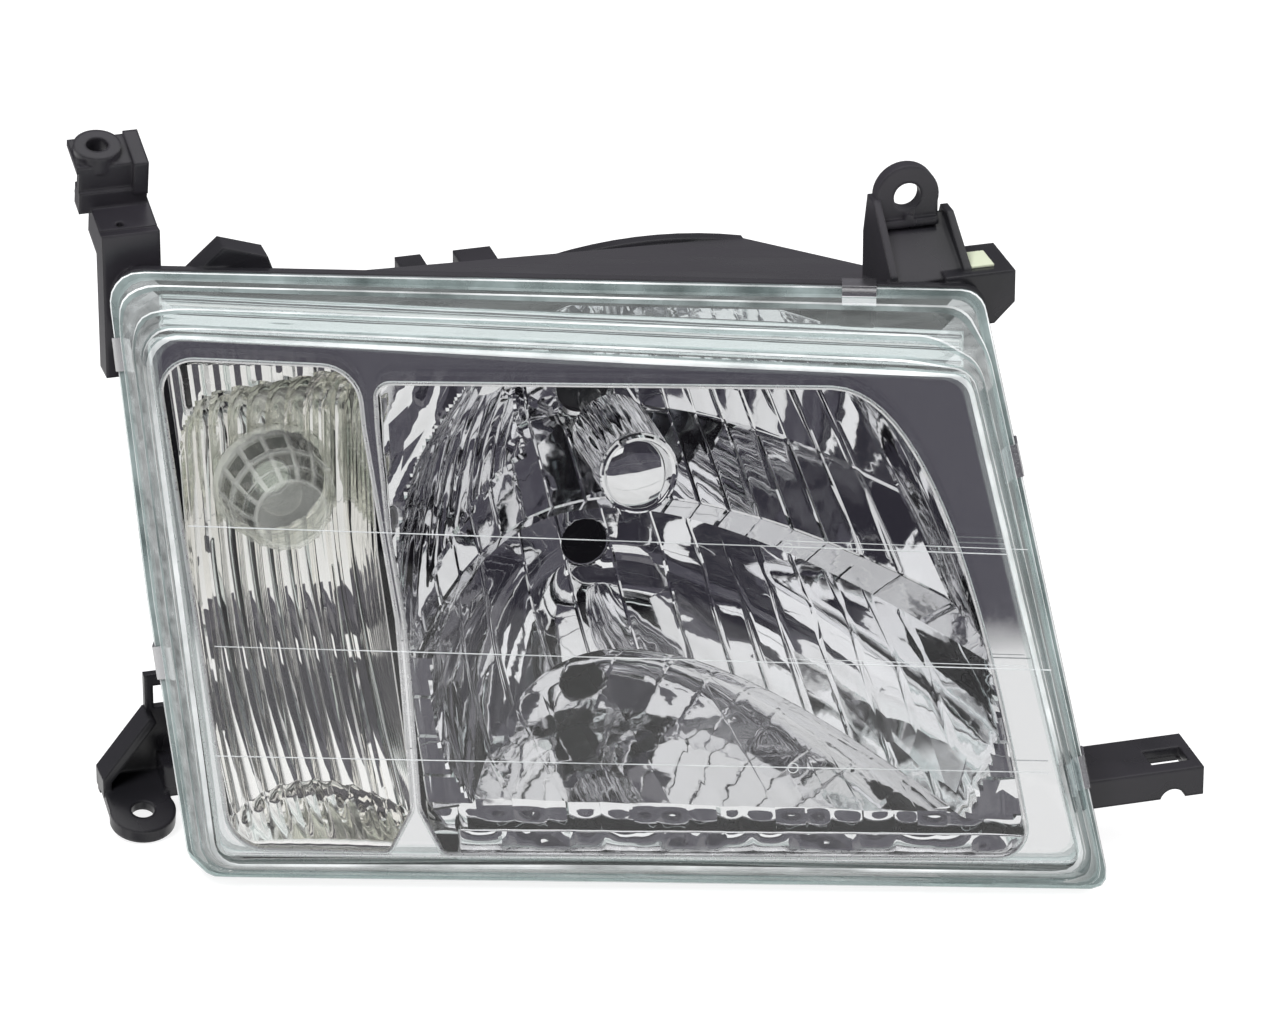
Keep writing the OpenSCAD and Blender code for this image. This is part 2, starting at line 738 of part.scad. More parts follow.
module pivot_ball_stud() {
    color(bright_steel) {
        ball(pivot_at, ball_y, pivot_ball_d / 2);
        rod(pivot_at, ball_y, outer_rear_y + 1, 2.95);
        rod(pivot_at, outer_rear_y + gap, outer_rear_y + 4, 6);
        rod(pivot_at, 40, 44 - gap, 6);
    }
}

// Nylon socket that turns with the reflector's sideways aim, and is the journal for its tilt
module pivot_socket() {
    r = pivot_ball_d / 2;
    color(nylon) difference() {
        cross_rod(pivot_at, ball_y, 9, pivot_socket_r);
        ball(pivot_at, ball_y, r + run);
        rod(pivot_at, ball_y, ball_y + 12, r - 1);
    }
}

module ball_socket(at) {
    color(nylon) difference() {
        rod(at, ball_y - 8, ball_y + 6, 8);
        ball(at, ball_y, nut_ball_d / 2 + 0.3);
        rod(at, ball_y, ball_y + 7, nut_ball_d / 2);
    }
}

thread_r = 2.9;
journal_r = 5 - run;

module ball_nut(at) {
    color(nylon) difference() {
        union() {
            ball(at, ball_y, nut_ball_d / 2);
            rod(at, ball_y, 38, 4.4);
        }
        rod(at, 17.5, 39, thread_r + run);
    }
}

module adjuster_screw(at) {
    color(bright_steel) {
        rod(at, 28, 50, thread_r);
        rod(at, 46, 50 - gap, 6.5);
        rod(at, 49, outer_rear_y + 8, journal_r);
    }
}

// Toothed head turned with a crosshead screwdriver
module adjuster_gear(at) {
    teeth = 12;
    hub = outer_rear_y + 2 + 2 * gap;
    color(nylon) difference() {
        union() {
            rod(at, hub, hub + 4, 9);
            for (i = [0:teeth - 1]) translate([at.x, 0, at.y]) rotate([0, i * 360 / teeth, 0])
                block([8, hub, -1.2], [11, hub + 4, 1.2]);
        }
        rod(at, hub - 1, hub + 5, journal_r + 0.02);
    }
}

// ---- Rear caps and small parts ----

module rear_cap(at, r) {
    skirt_r = r + collar_t + gap;
    color(soft_rubber) difference() {
        union() {
            rod(at, outer_rear_y + gap, rear_y + 24, skirt_r + 2.5);
            rod(at, rear_y + 20, rear_y + 28, 15);
        }
        rod(at, outer_rear_y - 1, rear_y + 21, skirt_r);
    }
}

module breather_elbow() {
    at = [60, 20];
    color(soft_rubber) {
        tube(at, outer_rear_y + gap, outer_rear_y + 14, 5, 3);
        translate([at.x, outer_rear_y + 14, at.y]) rotate([180, 0, 0]) difference() {
            cylinder(r = 5, h = 18);
            translate([0, 0, 5]) cylinder(r = 3, h = 20);
        }
    }
}

module harness_grommet() {
    at = [-75, 20];
    color(soft_rubber) rod(at, outer_rear_y + gap, outer_rear_y + 8, 9);
}

module inner_harness() {
    at = [-75, 20];
    color([0.55, 0.12, 0.10]) for (side = [-1, 1])
        rod([at.x + 3 * side, at.y], outer_rear_y + 8 + gap, outer_rear_y + 22, 1.4);
}

housing();
lens();
lens_seal();
lens_clips();
bezel();
bezel_screws();
main_reflector();
bulb_shield();
bulb_shield_screws();
low_bulb_base();
low_bulb_seal();
low_bulb_glass();
low_bulb_filament();
low_bulb_plug();
turn_reflector();
turn_bulb_cover();
turn_bulb_glass();
turn_bulb_cap();
turn_bulb_filament();
turn_socket();
turn_socket_seal();
turn_socket_plug();
pivot_ball_stud();
pivot_socket();
ball_socket(vertical_at);  // vertical_ball_socket
ball_nut(vertical_at);  // vertical_ball_nut
adjuster_screw(vertical_at);  // vertical_screw
adjuster_gear(vertical_at);  // vertical_adjuster_gear
ball_socket(horizontal_at);  // horizontal_ball_socket
ball_nut(horizontal_at);  // horizontal_ball_nut
adjuster_screw(horizontal_at);  // horizontal_screw
adjuster_gear(horizontal_at);  // horizontal_adjuster_gear
rear_cap(low_cap_at, low_cap_r);  // low_rear_cap
rear_cap(high_cap_at, high_cap_r);  // high_rear_cap
breather_elbow();
harness_grommet();
inner_harness();
corner_pad();
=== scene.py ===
import math

import bpy
import numpy as np
from mathutils import Matrix, Vector
from mathutils.geometry import tessellate_polygon


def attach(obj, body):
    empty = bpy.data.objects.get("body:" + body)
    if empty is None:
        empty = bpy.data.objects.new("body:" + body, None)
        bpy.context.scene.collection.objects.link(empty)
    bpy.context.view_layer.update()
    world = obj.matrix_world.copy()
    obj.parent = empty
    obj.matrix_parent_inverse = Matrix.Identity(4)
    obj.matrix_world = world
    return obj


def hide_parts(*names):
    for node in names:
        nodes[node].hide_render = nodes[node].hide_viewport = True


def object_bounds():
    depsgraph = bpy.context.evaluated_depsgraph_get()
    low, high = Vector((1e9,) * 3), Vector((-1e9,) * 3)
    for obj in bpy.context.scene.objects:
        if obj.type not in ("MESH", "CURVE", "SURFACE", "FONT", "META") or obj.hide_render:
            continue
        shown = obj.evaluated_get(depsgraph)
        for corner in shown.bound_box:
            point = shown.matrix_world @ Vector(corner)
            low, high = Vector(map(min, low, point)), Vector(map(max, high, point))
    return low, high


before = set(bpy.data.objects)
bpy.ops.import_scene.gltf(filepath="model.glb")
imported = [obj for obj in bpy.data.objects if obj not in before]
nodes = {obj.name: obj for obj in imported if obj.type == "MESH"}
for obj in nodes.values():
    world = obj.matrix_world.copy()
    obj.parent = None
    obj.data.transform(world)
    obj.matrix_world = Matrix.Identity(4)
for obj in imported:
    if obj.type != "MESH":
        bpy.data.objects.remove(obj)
cad_bounds = [list(corner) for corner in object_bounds()]
MM = 0.001


# ---------------------------------------------------------------- lens plane frame and outlines

SWEEP = math.radians(17)
LEAN = math.radians(13)
LENS_FORWARD = 150.0
LENS_RISE = 25.0  # height of the lens face over its mounting plane, in mm
WINDOWS_AT = 12.0  # height of the bezel's front face over the same plane
GLASS = 3.6

# outlines on the lens plane: (u, v, corner radius) in mm
FLANGE = [(-190, -75, 8), (172, -77, 6), (117, 168, 10), (-229, 173, 12), (-214, 39, 0), (-199, -66, 4)]
FACE = [(-187, -64.5, 10), (162, -64.5, 8), (112, 138, 10), (-213, 152, 12)]
BEZEL = [(-186, -64, 6), (160.4, -64.6, 5), (112, 136, 3), (-213, 149, 5)]
TURN_WINDOW = [(-180, -60, 16), (-117.5, -61, 3), (-108.8, -44, 5), (-112.8, 9, 0), (-114.8, 34, 0),
               (-120.8, 71, 0), (-127.6, 112, 0), (-130, 136, 16), (-208, 139, 12)]


def on_lens(u, v, w):
    """Row-frame point, in mm, of a point of the lens plane: u across, v up, w out of the lens."""
    lean = math.pi / 2 - LEAN
    across = v * math.cos(lean) - w * math.sin(lean)
    up = v * math.sin(lean) + w * math.cos(lean)
    x = u * math.cos(SWEEP) + across * math.sin(SWEEP)
    y = -u * math.sin(SWEEP) + across * math.cos(SWEEP) - LENS_FORWARD
    return np.stack(np.broadcast_arrays(x, y, up), axis=-1)


def lens_plane_f(x, z):
    """How far forward of the origin the lens mounting plane is at (x, z)."""
    return LENS_FORWARD + x * math.tan(SWEEP) - z * math.tan(LEAN) / math.cos(SWEEP)


def corner_arc(a, p, b, radius, steps=8):
    """Points of the arc that rounds the corner at p, between the sides to a and to b."""
    a, p, b = (np.array(q, float) for q in (a, p, b))
    if radius <= 0:
        return [p]
    to_a = (a - p) / np.linalg.norm(a - p)
    to_b = (b - p) / np.linalg.norm(b - p)
    half = math.acos(float(to_a @ to_b)) / 2
    middle = (to_a + to_b) / np.linalg.norm(to_a + to_b)
    centre = p + middle * radius / math.sin(half)
    start = p + to_a * radius / math.tan(half) - centre
    end = p + to_b * radius / math.tan(half) - centre
    first = math.atan2(start[1], start[0])
    turn = (math.atan2(end[1], end[0]) - first + 3 * math.pi) % (2 * math.pi) - math.pi
    angles = [first + turn * i / steps for i in range(steps + 1)]
    return [centre + radius * np.array((math.cos(t), math.sin(t))) for t in angles]


def rounded(line):
    """The closed outline with its corners rounded."""
    count = len(line)
    points = []
    for i, (px, py, radius) in enumerate(line):
        points += corner_arc(line[i - 1][:2], (px, py), line[(i + 1) % count][:2], radius)
    return np.array(points)


def bezier(a, b, c, d, steps):
    a, b, c, d = (np.array(q, float) for q in (a, b, c, d))
    points = []
    for i in range(steps + 1):
        t = i / steps
        near = (1 - t) ** 3 * a + 3 * (1 - t) ** 2 * t * b
        far = 3 * (1 - t) * t * t * c + t ** 3 * d
        points.append(near + far)
    return points


def main_window():
    """The larger opening of the bezel, with its long curved inboard side."""
    points = corner_arc((-104.4, -44), (-95, -62), (137.6, -61), 3)
    points += corner_arc((-91, -62), (137.6, -61), (136, -40), 11)
    points += bezier((136, -45), (124, 15), (100, 128), (58, 129), 24)
    points += corner_arc((58, 129), (-121.5, 129.5), (-120.6, 112), 5)
    points += [np.array(p, float) for p in ((-120.6, 112), (-116.6, 71), (-110.4, 34), (-108.2, 9))]
    points += corner_arc((-108.2, 9), (-104.4, -44), (-95, -62), 5)
    return np.array(points)


def resampled(points, step):
    """The closed outline with extra points, so that no edge is longer than step. Corners stay."""
    out = []
    for a, b in zip(points, np.roll(points, -1, axis=0)):
        pieces = max(1, int(math.ceil(np.linalg.norm(b - a) / step)))
        out += [a + (b - a) * i / pieces for i in range(pieces)]
    return np.array(out)


def offset(points, distance):
    """The closed counter-clockwise outline moved inwards by distance."""
    before = points - np.roll(points, 1, axis=0)
    after = np.roll(points, -1, axis=0) - points
    before /= np.linalg.norm(before, axis=1)[:, None]
    after /= np.linalg.norm(after, axis=1)[:, None]
    n1 = np.stack((-before[:, 1], before[:, 0]), axis=1)
    n2 = np.stack((-after[:, 1], after[:, 0]), axis=1)
    return points + distance * (n1 + n2) / (1 + np.sum(n1 * n2, axis=1))[:, None]


def ray_to(line, origin, direction):
    """Distance from a point to a closed outline along a direction."""
    rel = line - origin
    edge = np.roll(rel, -1, axis=0) - rel
    cross = direction[0] * edge[:, 1] - direction[1] * edge[:, 0]
    with np.errstate(divide="ignore", invalid="ignore"):
        reach = (rel[:, 0] * edge[:, 1] - rel[:, 1] * edge[:, 0]) / cross
        share = (rel[:, 0] * direction[1] - rel[:, 1] * direction[0]) / cross
    good = (share >= -1e-9) & (share <= 1 + 1e-9) & (reach > 0)
    return float(np.min(reach[good]))


def polar(line, centre, angles):
    """Points of a star-shaped outline at the given angles round a centre."""
    ways = [np.array((math.cos(t), math.sin(t))) for t in angles]
    return np.array([centre + way * ray_to(line, centre, way) for way in ways])


# ---------------------------------------------------------------- mesh helpers


def add_piece(name, points, faces, material, body="housing", sharp=30, replaces=()):
    """A new mesh piece from points in mm. Materials may be one or a list, with faces as (loop, index)."""
    mesh = bpy.data.meshes.new(name)
    materials = material if isinstance(material, (list, tuple)) else [material]
    loops = [f[0] for f in faces] if isinstance(material, (list, tuple)) else faces
    mesh.from_pydata((np.asarray(points, float) * MM).tolist(), [], [list(map(int, f)) for f in loops])
    for m in materials:
        mesh.materials.append(m)
    if isinstance(material, (list, tuple)):
        mesh.polygons.foreach_set("material_index", [f[1] for f in faces])
    mesh.polygons.foreach_set("use_smooth", [True] * len(mesh.polygons))
    mesh.update()
    mesh.set_sharp_from_angle(angle=math.radians(sharp))
    piece = bpy.data.objects.new(name, mesh)
    bpy.context.scene.collection.objects.link(piece)
    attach(piece, body)
    if replaces:
        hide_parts(*replaces)
    return piece


def grid_faces(rows, columns, closed=False, start=0):
    """Quads of a grid of points stored row by row. A closed grid joins its last column to its first."""
    faces = []
    for j in range(rows - 1):
        for i in range(columns if closed else columns - 1):
            k = (i + 1) % columns
            a, b = start + j * columns + i, start + j * columns + k
            faces.append((a, b, b + columns, a + columns))
    return faces


def thicken(piece, thickness, side=-1):
    """Gives a sheet its thickness: against its normals for side -1, with them for 1, both for 0."""
    solid = piece.modifiers.new("wall", "SOLIDIFY")
    solid.thickness = thickness * MM
    solid.offset = side
    solid.use_even_offset = False


# ---------------------------------------------------------------- materials


def new_material(name):
    material = bpy.data.materials.new(name)
    material.use_nodes = True
    tree = material.node_tree
    tree.nodes.clear()
    out = tree.nodes.new("ShaderNodeOutputMaterial")
    return material, tree, out


def node(tree, kind, values=None, **props):
    """A shader node with its properties and input values set. A value that is a socket is linked."""
    made = tree.nodes.new("ShaderNode" + kind)
    for key, value in props.items():
        setattr(made, key, value)
    for key, value in (values or {}).items():
        socket = made.inputs[key]
        if isinstance(value, bpy.types.NodeSocket):
            tree.links.new(value, socket)
        else:
            socket.default_value = value
    return made


def noise(tree, scale, detail=3.0, stretch=(1, 1, 1), seed_at=(0, 0, 0)):
    where = node(tree, "TexCoord").outputs["Object"]
    mapped = node(tree, "Mapping", {"Vector": where, "Scale": stretch, "Location": seed_at})
    made = node(tree, "TexNoise", {"Vector": mapped.outputs[0], "Scale": scale, "Detail": detail})
    return made.outputs["Fac"]


def ramp(tree, value, low, high, out_low, out_high):
    made = node(tree, "MapRange", {"Value": value, "From Min": low, "From Max": high,
                                   "To Min": out_low, "To Max": out_high})
    return made.outputs["Result"]


def colour_mix(tree, share, a, b):
    """The colour a, changing to b as share goes from 0 to 1."""
    return node(tree, "Mix", {0: share, 6: a, 7: b}, data_type="RGBA").outputs[2]


def shader_mix(tree, share, a, b):
    """The shader a, changing to b as share goes from 0 to 1."""
    return node(tree, "MixShader", {0: share, 1: a, 2: b}).outputs[0]


def bump(tree, height, strength, distance, normal=None):
    values = {"Height": height, "Strength": strength, "Distance": distance}
    if normal is not None:
        values["Normal"] = normal
    return node(tree, "Bump", values).outputs["Normal"]


def rgba(r, g, b):
    return (r, g, b, 1.0)


def plastic(name, dark, light, rough=0.42, grain=0.25, rounding=0.7):
    """Moulded plastic or rubber: fine grain, slow colour drift, rounded edges."""
    material, tree, out = new_material(name)
    drift = noise(tree, 22, 4)
    fine = noise(tree, 2600, 2, seed_at=(3, 1, 2))
    edge = node(tree, "Bevel", {"Radius": rounding * MM}, samples=6)
    normal = bump(tree, fine, grain, 0.00006, edge.outputs[0])
    colour = colour_mix(tree, ramp(tree, drift, 0.35, 0.7, 0, 1), dark, light)
    shader = node(tree, "BsdfPrincipled", {
        "Base Color": colour, "Normal": normal,
        "Roughness": ramp(tree, drift, 0.3, 0.7, rough - 0.06, rough + 0.08),
        "Specular IOR Level": 0.55})
    tree.links.new(shader.outputs[0], out.inputs[0])
    return material


def metal(name, colour, rough=0.25, brush=(1, 1, 1), rounding=0.25, depth=0.2):
    material, tree, out = new_material(name)
    streak = noise(tree, 900, 3, stretch=brush)
    edge = node(tree, "Bevel", {"Radius": rounding * MM}, samples=4)
    shader = node(tree, "BsdfPrincipled", {
        "Base Color": colour, "Metallic": 1.0,
        "Roughness": ramp(tree, streak, 0.3, 0.7, rough * 0.8, rough * 1.25),
        "Normal": bump(tree, streak, depth, 0.00003, edge.outputs[0])})
    tree.links.new(shader.outputs[0], out.inputs[0])
    return material


def mirror(name, colour, rough=0.035, wave=0.12, wave_scale=70):
    """Vacuum-metallised coat: nearly a mirror, with slow waves of the moulding and a faint haze."""
    material, tree, out = new_material(name)
    slow = noise(tree, wave_scale, 2)
    haze = noise(tree, 420, 3, seed_at=(5, 0, 1))
    shader = node(tree, "BsdfPrincipled", {
        "Base Color": colour, "Metallic": 1.0,
        "Roughness": ramp(tree, haze, 0.35, 0.75, rough, rough * 2.2),
        "Normal": bump(tree, slow, wave, 0.0006)})
    tree.links.new(shader.outputs[0], out.inputs[0])
    return material


def coated(name, bare_colour, coat_colour):
    """Moulding with its mirror coat on the forward side only."""
    material, tree, out = new_material(name)
    drift = noise(tree, 40, 3)
    bare = node(tree, "BsdfPrincipled", {
        "Base Color": bare_colour,
        "Roughness": ramp(tree, drift, 0.3, 0.7, 0.45, 0.6)})
    coat = node(tree, "BsdfPrincipled", {
        "Base Color": coat_colour, "Metallic": 1.0,
        "Roughness": ramp(tree, drift, 0.3, 0.7, 0.03, 0.07)})
    normal = node(tree, "NewGeometry").outputs["Normal"]
    forward = node(tree, "SeparateXYZ", {"Vector": normal}).outputs["Y"]
    coat_share = ramp(tree, forward, 0.25, 0.2, 0, 1)
    mixed = shader_mix(tree, coat_share, bare.outputs[0], coat.outputs[0])
    tree.links.new(mixed, out.inputs[0])
    return material


def clear(name, tint, haze=0.0, haze_colour=None, streaks=(1, 1, 1)):
    """Clear sheet: light passes straight through with a tint, and the surface reflects by angle.
    haze is the share of the surface that looks milky, in streaks where the stretch is uneven. On the lens
    step shoulders and the moulded marks the milky white is a painted highlight."""
    ior = 1.48
    material, tree, out = new_material(name)
    through = node(tree, "BsdfTransparent", {"Color": tint})
    gloss = node(tree, "BsdfGlossy", {"Color": rgba(1, 1, 1), "Roughness": 0.02})
    # the same reflection from both sides of the sheet, as the light isn't bent on its way through
    behind = node(tree, "NewGeometry").outputs["Backfacing"]
    fresnel = node(tree, "Fresnel", {"IOR": ramp(tree, behind, 0, 1, ior, 1 / ior)})
    body = through.outputs[0]
    if haze:
        milky = node(tree, "BsdfPrincipled", {"Base Color": haze_colour, "Roughness": 0.35})
        patches = noise(tree, 26, 5, stretch=streaks)
        share = ramp(tree, patches, 0.3, 0.7, haze * 0.35, min(1.0, haze * 1.5))
        body = shader_mix(tree, share, body, milky.outputs[0])
    both = shader_mix(tree, fresnel.outputs[0], body, gloss.outputs[0])
    tree.links.new(both, out.inputs[0])
    return material


black = plastic("housing_plastic", rgba(0.012, 0.012, 0.014), rgba(0.024, 0.022, 0.027), 0.27, 0.2, 2.0)
cap_rubber = plastic("cap_rubber", rgba(0.014, 0.014, 0.015), rgba(0.028, 0.028, 0.030), 0.6, 0.5)
grey = plastic("grey_plastic", rgba(0.030, 0.030, 0.032), rgba(0.050, 0.050, 0.054), 0.45)
nylon = plastic("natural_nylon", rgba(0.62, 0.62, 0.57), rgba(0.72, 0.72, 0.66), 0.38, 0.15)
red_rubber = plastic("seal_rubber", rgba(0.16, 0.035, 0.020), rgba(0.22, 0.050, 0.030), 0.55)
wire = plastic("wire_sheath", rgba(0.30, 0.02, 0.015), rgba(0.40, 0.04, 0.03), 0.4)
pad = plastic("pad_foam", rgba(0.52, 0.56, 0.42), rgba(0.64, 0.67, 0.53), 0.8, 0.9)
steel = metal("spring_steel", rgba(0.70, 0.70, 0.71), 0.22, (1, 14, 1))
tip = metal("tip_coat", rgba(0.30, 0.31, 0.34), 0.3)
chrome = mirror("mirror_coat", rgba(0.91, 0.91, 0.92), 0.02)
bezel_coat = mirror("bezel_coat", rgba(0.87, 0.87, 0.88), 0.012, 0.03, 18)
lip_coat = mirror("lip_coat", rgba(0.95, 0.95, 0.955), 0.22, 0.05)
turn_coat = mirror("turn_coat", rgba(0.94, 0.93, 0.905), 0.025)
moulding = coated("reflector_moulding", rgba(0.22, 0.22, 0.225), rgba(0.90, 0.90, 0.91))
glass_face = clear("lens_face_glass", rgba(0.994, 0.996, 0.995))
glass_wall = clear("lens_wall_glass", rgba(0.925, 0.95, 0.945), haze=0.24,
                   haze_colour=rgba(0.78, 0.82, 0.82), streaks=(0.5, 7, 7))
glass_edge = clear("lens_edge_glass", rgba(0.70, 0.775, 0.765), haze=0.40,
                   haze_colour=rgba(0.40, 0.47, 0.465), streaks=(2, 2, 2))
glass_brow = clear("lens_brow_glass", rgba(0.94, 0.965, 0.96), haze=0.05,
                   haze_colour=rgba(0.8, 0.85, 0.84), streaks=(0.3, 9, 9))
glass_inboard = clear("lens_inboard_glass", rgba(0.80, 0.87, 0.865), haze=0.20,
                      haze_colour=rgba(0.46, 0.56, 0.56), streaks=(4, 2, 0.4))
# painted highlight: milky near-white glass on the narrow step shoulders of the lens, in place of the
# glints that clear glass catches there
glass_step_glint = clear("lens_step_painted_glint", rgba(0.93, 0.95, 0.95), haze=0.62, haze_colour=rgba(0.90, 0.93, 0.93))
# painted highlight: the clear moulded marks are made milky white, in place of the glints their ridges
# catch
glass_mark_glint = clear("lens_mark_painted_glint", rgba(0.93, 0.94, 0.94), haze=0.7, haze_colour=rgba(0.85, 0.87, 0.88))
bulb_glass = clear("bulb_glass", rgba(0.93, 0.95, 0.94))
cover_clear = clear("cover_clear", rgba(0.975, 0.98, 0.955), haze=0.05, haze_colour=rgba(0.88, 0.90, 0.82))
cover_rib = clear("cover_rib", rgba(0.95, 0.955, 0.93), haze=0.24, haze_colour=rgba(0.86, 0.87, 0.83))
cover_front = clear("cover_front", rgba(0.95, 0.955, 0.93), haze=0.15, haze_colour=rgba(0.86, 0.87, 0.83))

FINISHES = {
    "housing": black, "lens_seal": cap_rubber, "bezel_screws": steel, "main_reflector": moulding,
    "bulb_shield": chrome, "bulb_shield_screws": steel, "low_bulb_base": grey,
    "low_bulb_seal": red_rubber, "low_bulb_glass": bulb_glass, "low_bulb_filament": tip,
    "low_bulb_plug": black, "turn_reflector": moulding, "turn_bulb_glass": bulb_glass,
    "turn_bulb_cap": steel,
    "turn_bulb_filament": tip, "turn_socket": grey, "turn_socket_seal": red_rubber,
    "turn_socket_plug": black, "pivot_ball_stud": steel, "pivot_socket": nylon,
    "vertical_ball_socket": nylon, "vertical_ball_nut": nylon, "vertical_screw": steel,
    "vertical_adjuster_gear": nylon, "horizontal_ball_socket": nylon, "horizontal_ball_nut": nylon,
    "horizontal_screw": steel, "horizontal_adjuster_gear": nylon, "low_rear_cap": cap_rubber,
    "high_rear_cap": cap_rubber, "breather_elbow": cap_rubber, "harness_grommet": cap_rubber,
    "inner_harness": wire, "corner_pad": pad,
}


def finish_cad_nodes():
    """Gives each CAD node that stays in view its material."""
    for name, material in FINISHES.items():
        data = nodes[name].data
        data.materials.clear()
        data.materials.append(material)


# ---------------------------------------------------------------- lens


LENS_CENTRE = np.array((-25.0, 40.0))
LENS_ANGLES = np.linspace(0, 2 * math.pi, 420, endpoint=False)


# places of the lens materials in its list; the bright one is milky white glass, a painted highlight along
# the step shoulders
EDGE, WALL, FRONT, PAINTED_GLINT, BROW, INBOARD = range(6)


def inset_towards_middle(line, distance):
    inward = LENS_CENTRE - line
    return line + inward / np.linalg.norm(inward, axis=1)[:, None] * distance


def lens_rings():
    """Rings from the rim's back out over the face: (outline, height, material of the band after it)."""
    flange = polar(rounded(FLANGE), LENS_CENTRE, LENS_ANGLES)
    face = polar(rounded(FACE), LENS_CENTRE, LENS_ANGLES)

    def between(share, inset=0.0):
        return inset_towards_middle(flange + (face - flange) * share, inset)

    return [
        # the bright bands are the step shoulders, done as painted highlights
        (between(0, 0.3), 0.0, EDGE), (between(0), 0.6, EDGE), (between(0), 3.4, PAINTED_GLINT),
        (between(0, 0.6), 4.0, EDGE), (between(0, 3.4), 4.0, EDGE), (between(0, 4.2), 5.0, EDGE),
        (between(0.05, 3), 5.8, WALL), (between(0.20), 7.4, PAINTED_GLINT), (between(0.222), 8.2, EDGE),
        (between(0.29), 8.6, WALL), (between(0.56), 14.4, PAINTED_GLINT), (between(0.58), 15.4, EDGE),
        (between(0.64), 15.9, WALL), (between(0.82), 19.4, EDGE), (between(0.86), 20.6, PAINTED_GLINT),
        (between(0.885), 21.6, WALL), (between(0.95), 23.4, EDGE), (between(0.985), 24.3, PAINTED_GLINT),
        (between(1.0, 0.9), 24.9, PAINTED_GLINT), (between(1.0, 1.9), 25.0, FRONT),
    ]


def wall_look(u, v):
    """The walls take another look along the brow and down the inboard side."""
    if v > 138 - 0.02 * u and abs(u + 50) < 158:
        return BROW
    return INBOARD if u > 100 and v < 130 else WALL


def build_lens():
    """The glass: stepped walls and face outside, smooth walls inside, closed along the rim."""
    count = len(LENS_ANGLES)
    rings = lens_rings()
    points = [on_lens(line[:, 0], line[:, 1], height) for line, height, _ in rings]
    faces = []
    for j, (line, _, look) in enumerate(rings[:-1]):
        for i, face in enumerate(grid_faces(2, count, True, j * count)):
            faces.append((face, wall_look(*line[i]) if look == WALL else look))
    last = (len(rings) - 1) * count
    faces.append((tuple(range(last, last + count)), FRONT))
    # inner surface: (ring that it follows, its height, its distance inside that ring)
    inner = [(0, 0.0, 4.5), (5, 3.0, 3.6), (12, 12.6, 3.2), (19, 21.4, 2.6)]
    base = len(rings) * count
    for ring, height, inset in inner:
        moved = inset_towards_middle(rings[ring][0], inset)
        points.append(on_lens(moved[:, 0], moved[:, 1], height))
    for j in range(len(inner) - 1):
        faces += [(f[::-1], BROW) for f in grid_faces(2, count, True, base + j * count)]
    faces += [((base + i, base + (i + 1) % count, (i + 1) % count, i), EDGE) for i in range(count)]
    last = base + (len(inner) - 1) * count
    faces.append((tuple(range(last + count - 1, last - 1, -1)), FRONT))
    looks = [glass_edge, glass_wall, glass_face, glass_step_glint, glass_brow, glass_inboard]
    add_piece("lens_glass", np.concatenate(points), faces, looks, sharp=24,
              replaces=("lens",))


def bar(start, end, width, height, base):
    """A low bar lying on the lens plane at height base, as points and faces. Ends are (u, v)."""
    start, end = np.array(start, float), np.array(end, float)
    along = (end - start) / np.linalg.norm(end - start)
    side = np.array((-along[1], along[0])) * width / 2
    low = [start - side, end - side, end + side, start + side]
    top = [start - side * 0.4, end - side * 0.4, end + side * 0.4, start + side * 0.4]
    points = [on_lens(p[0], p[1], base) for p in low] + [on_lens(p[0], p[1], base + height) for p in top]
    faces = [(3, 2, 1, 0), (4, 5, 6, 7), (0, 1, 5, 4), (1, 2, 6, 5), (2, 3, 7, 6), (3, 0, 4, 7)]
    return points, faces


def join(parts):
    """Several (points, faces) pairs as one."""
    points, faces = [], []
    for part_points, part_faces in parts:
        start = len(points)
        points += list(part_points)
        faces += [tuple(start + i for i in f) for f in part_faces]
    return points, faces


def build_lens_marks():
    """Fine moulded lines and two small rings on the inside of the lens face, in milky white glass as
    painted highlights.
    """
    inside = LENS_RISE - GLASS - 0.35
    parts = []
    for start, end in (((-196, 74), (128, 65)), ((-186, 25), (146, 18)), ((-186, -20), (146, -24))):
        parts.append(bar(start, end, 0.5, 0.3, inside))
    for start, end in (((40, 69.85), (136, 67)), ((40, 21.82), (136, 19.6))):
        parts.append(bar(start, end, 0.35, 0.25, inside))
    ring = np.linspace(0, 2 * math.pi, 25)
    for centre in ((41, 67), (44, -23)):
        for a, b in zip(ring[:-1], ring[1:]):
            ends = [(centre[0] + 2 * math.cos(t), centre[1] + 2 * math.sin(t)) for t in (a, b)]
            parts.append(bar(ends[0], ends[1], 0.4, 0.3, inside))
    points, faces = join(parts)
    add_piece("lens_marks", points, faces, glass_mark_glint)


# ---------------------------------------------------------------- bezel


def band(outer, inner):
    """Faces of the flat sheet between an outline and the ones inside it, stored one after another."""
    loops = [[Vector((p[0], p[1], 0)) for p in line] for line in (outer, *inner)]
    return tessellate_polygon(loops)


def ccw(points):
    """The outline, turned round if it ran clockwise."""
    area = np.sum(points[:, 0] * np.roll(points[:, 1], -1) - np.roll(points[:, 0], -1) * points[:, 1])
    return points if area > 0 else points[::-1]


def lip(line, profile, flip=False):
    """A strip that follows an outline. profile is a list of (inset, height); the strip is open."""
    points = np.concatenate([on_lens(*offset(line, inset).T, height) for inset, height in profile])
    faces = grid_faces(len(profile), len(line), True)
    return points, [f[::-1] for f in faces] if flip else faces


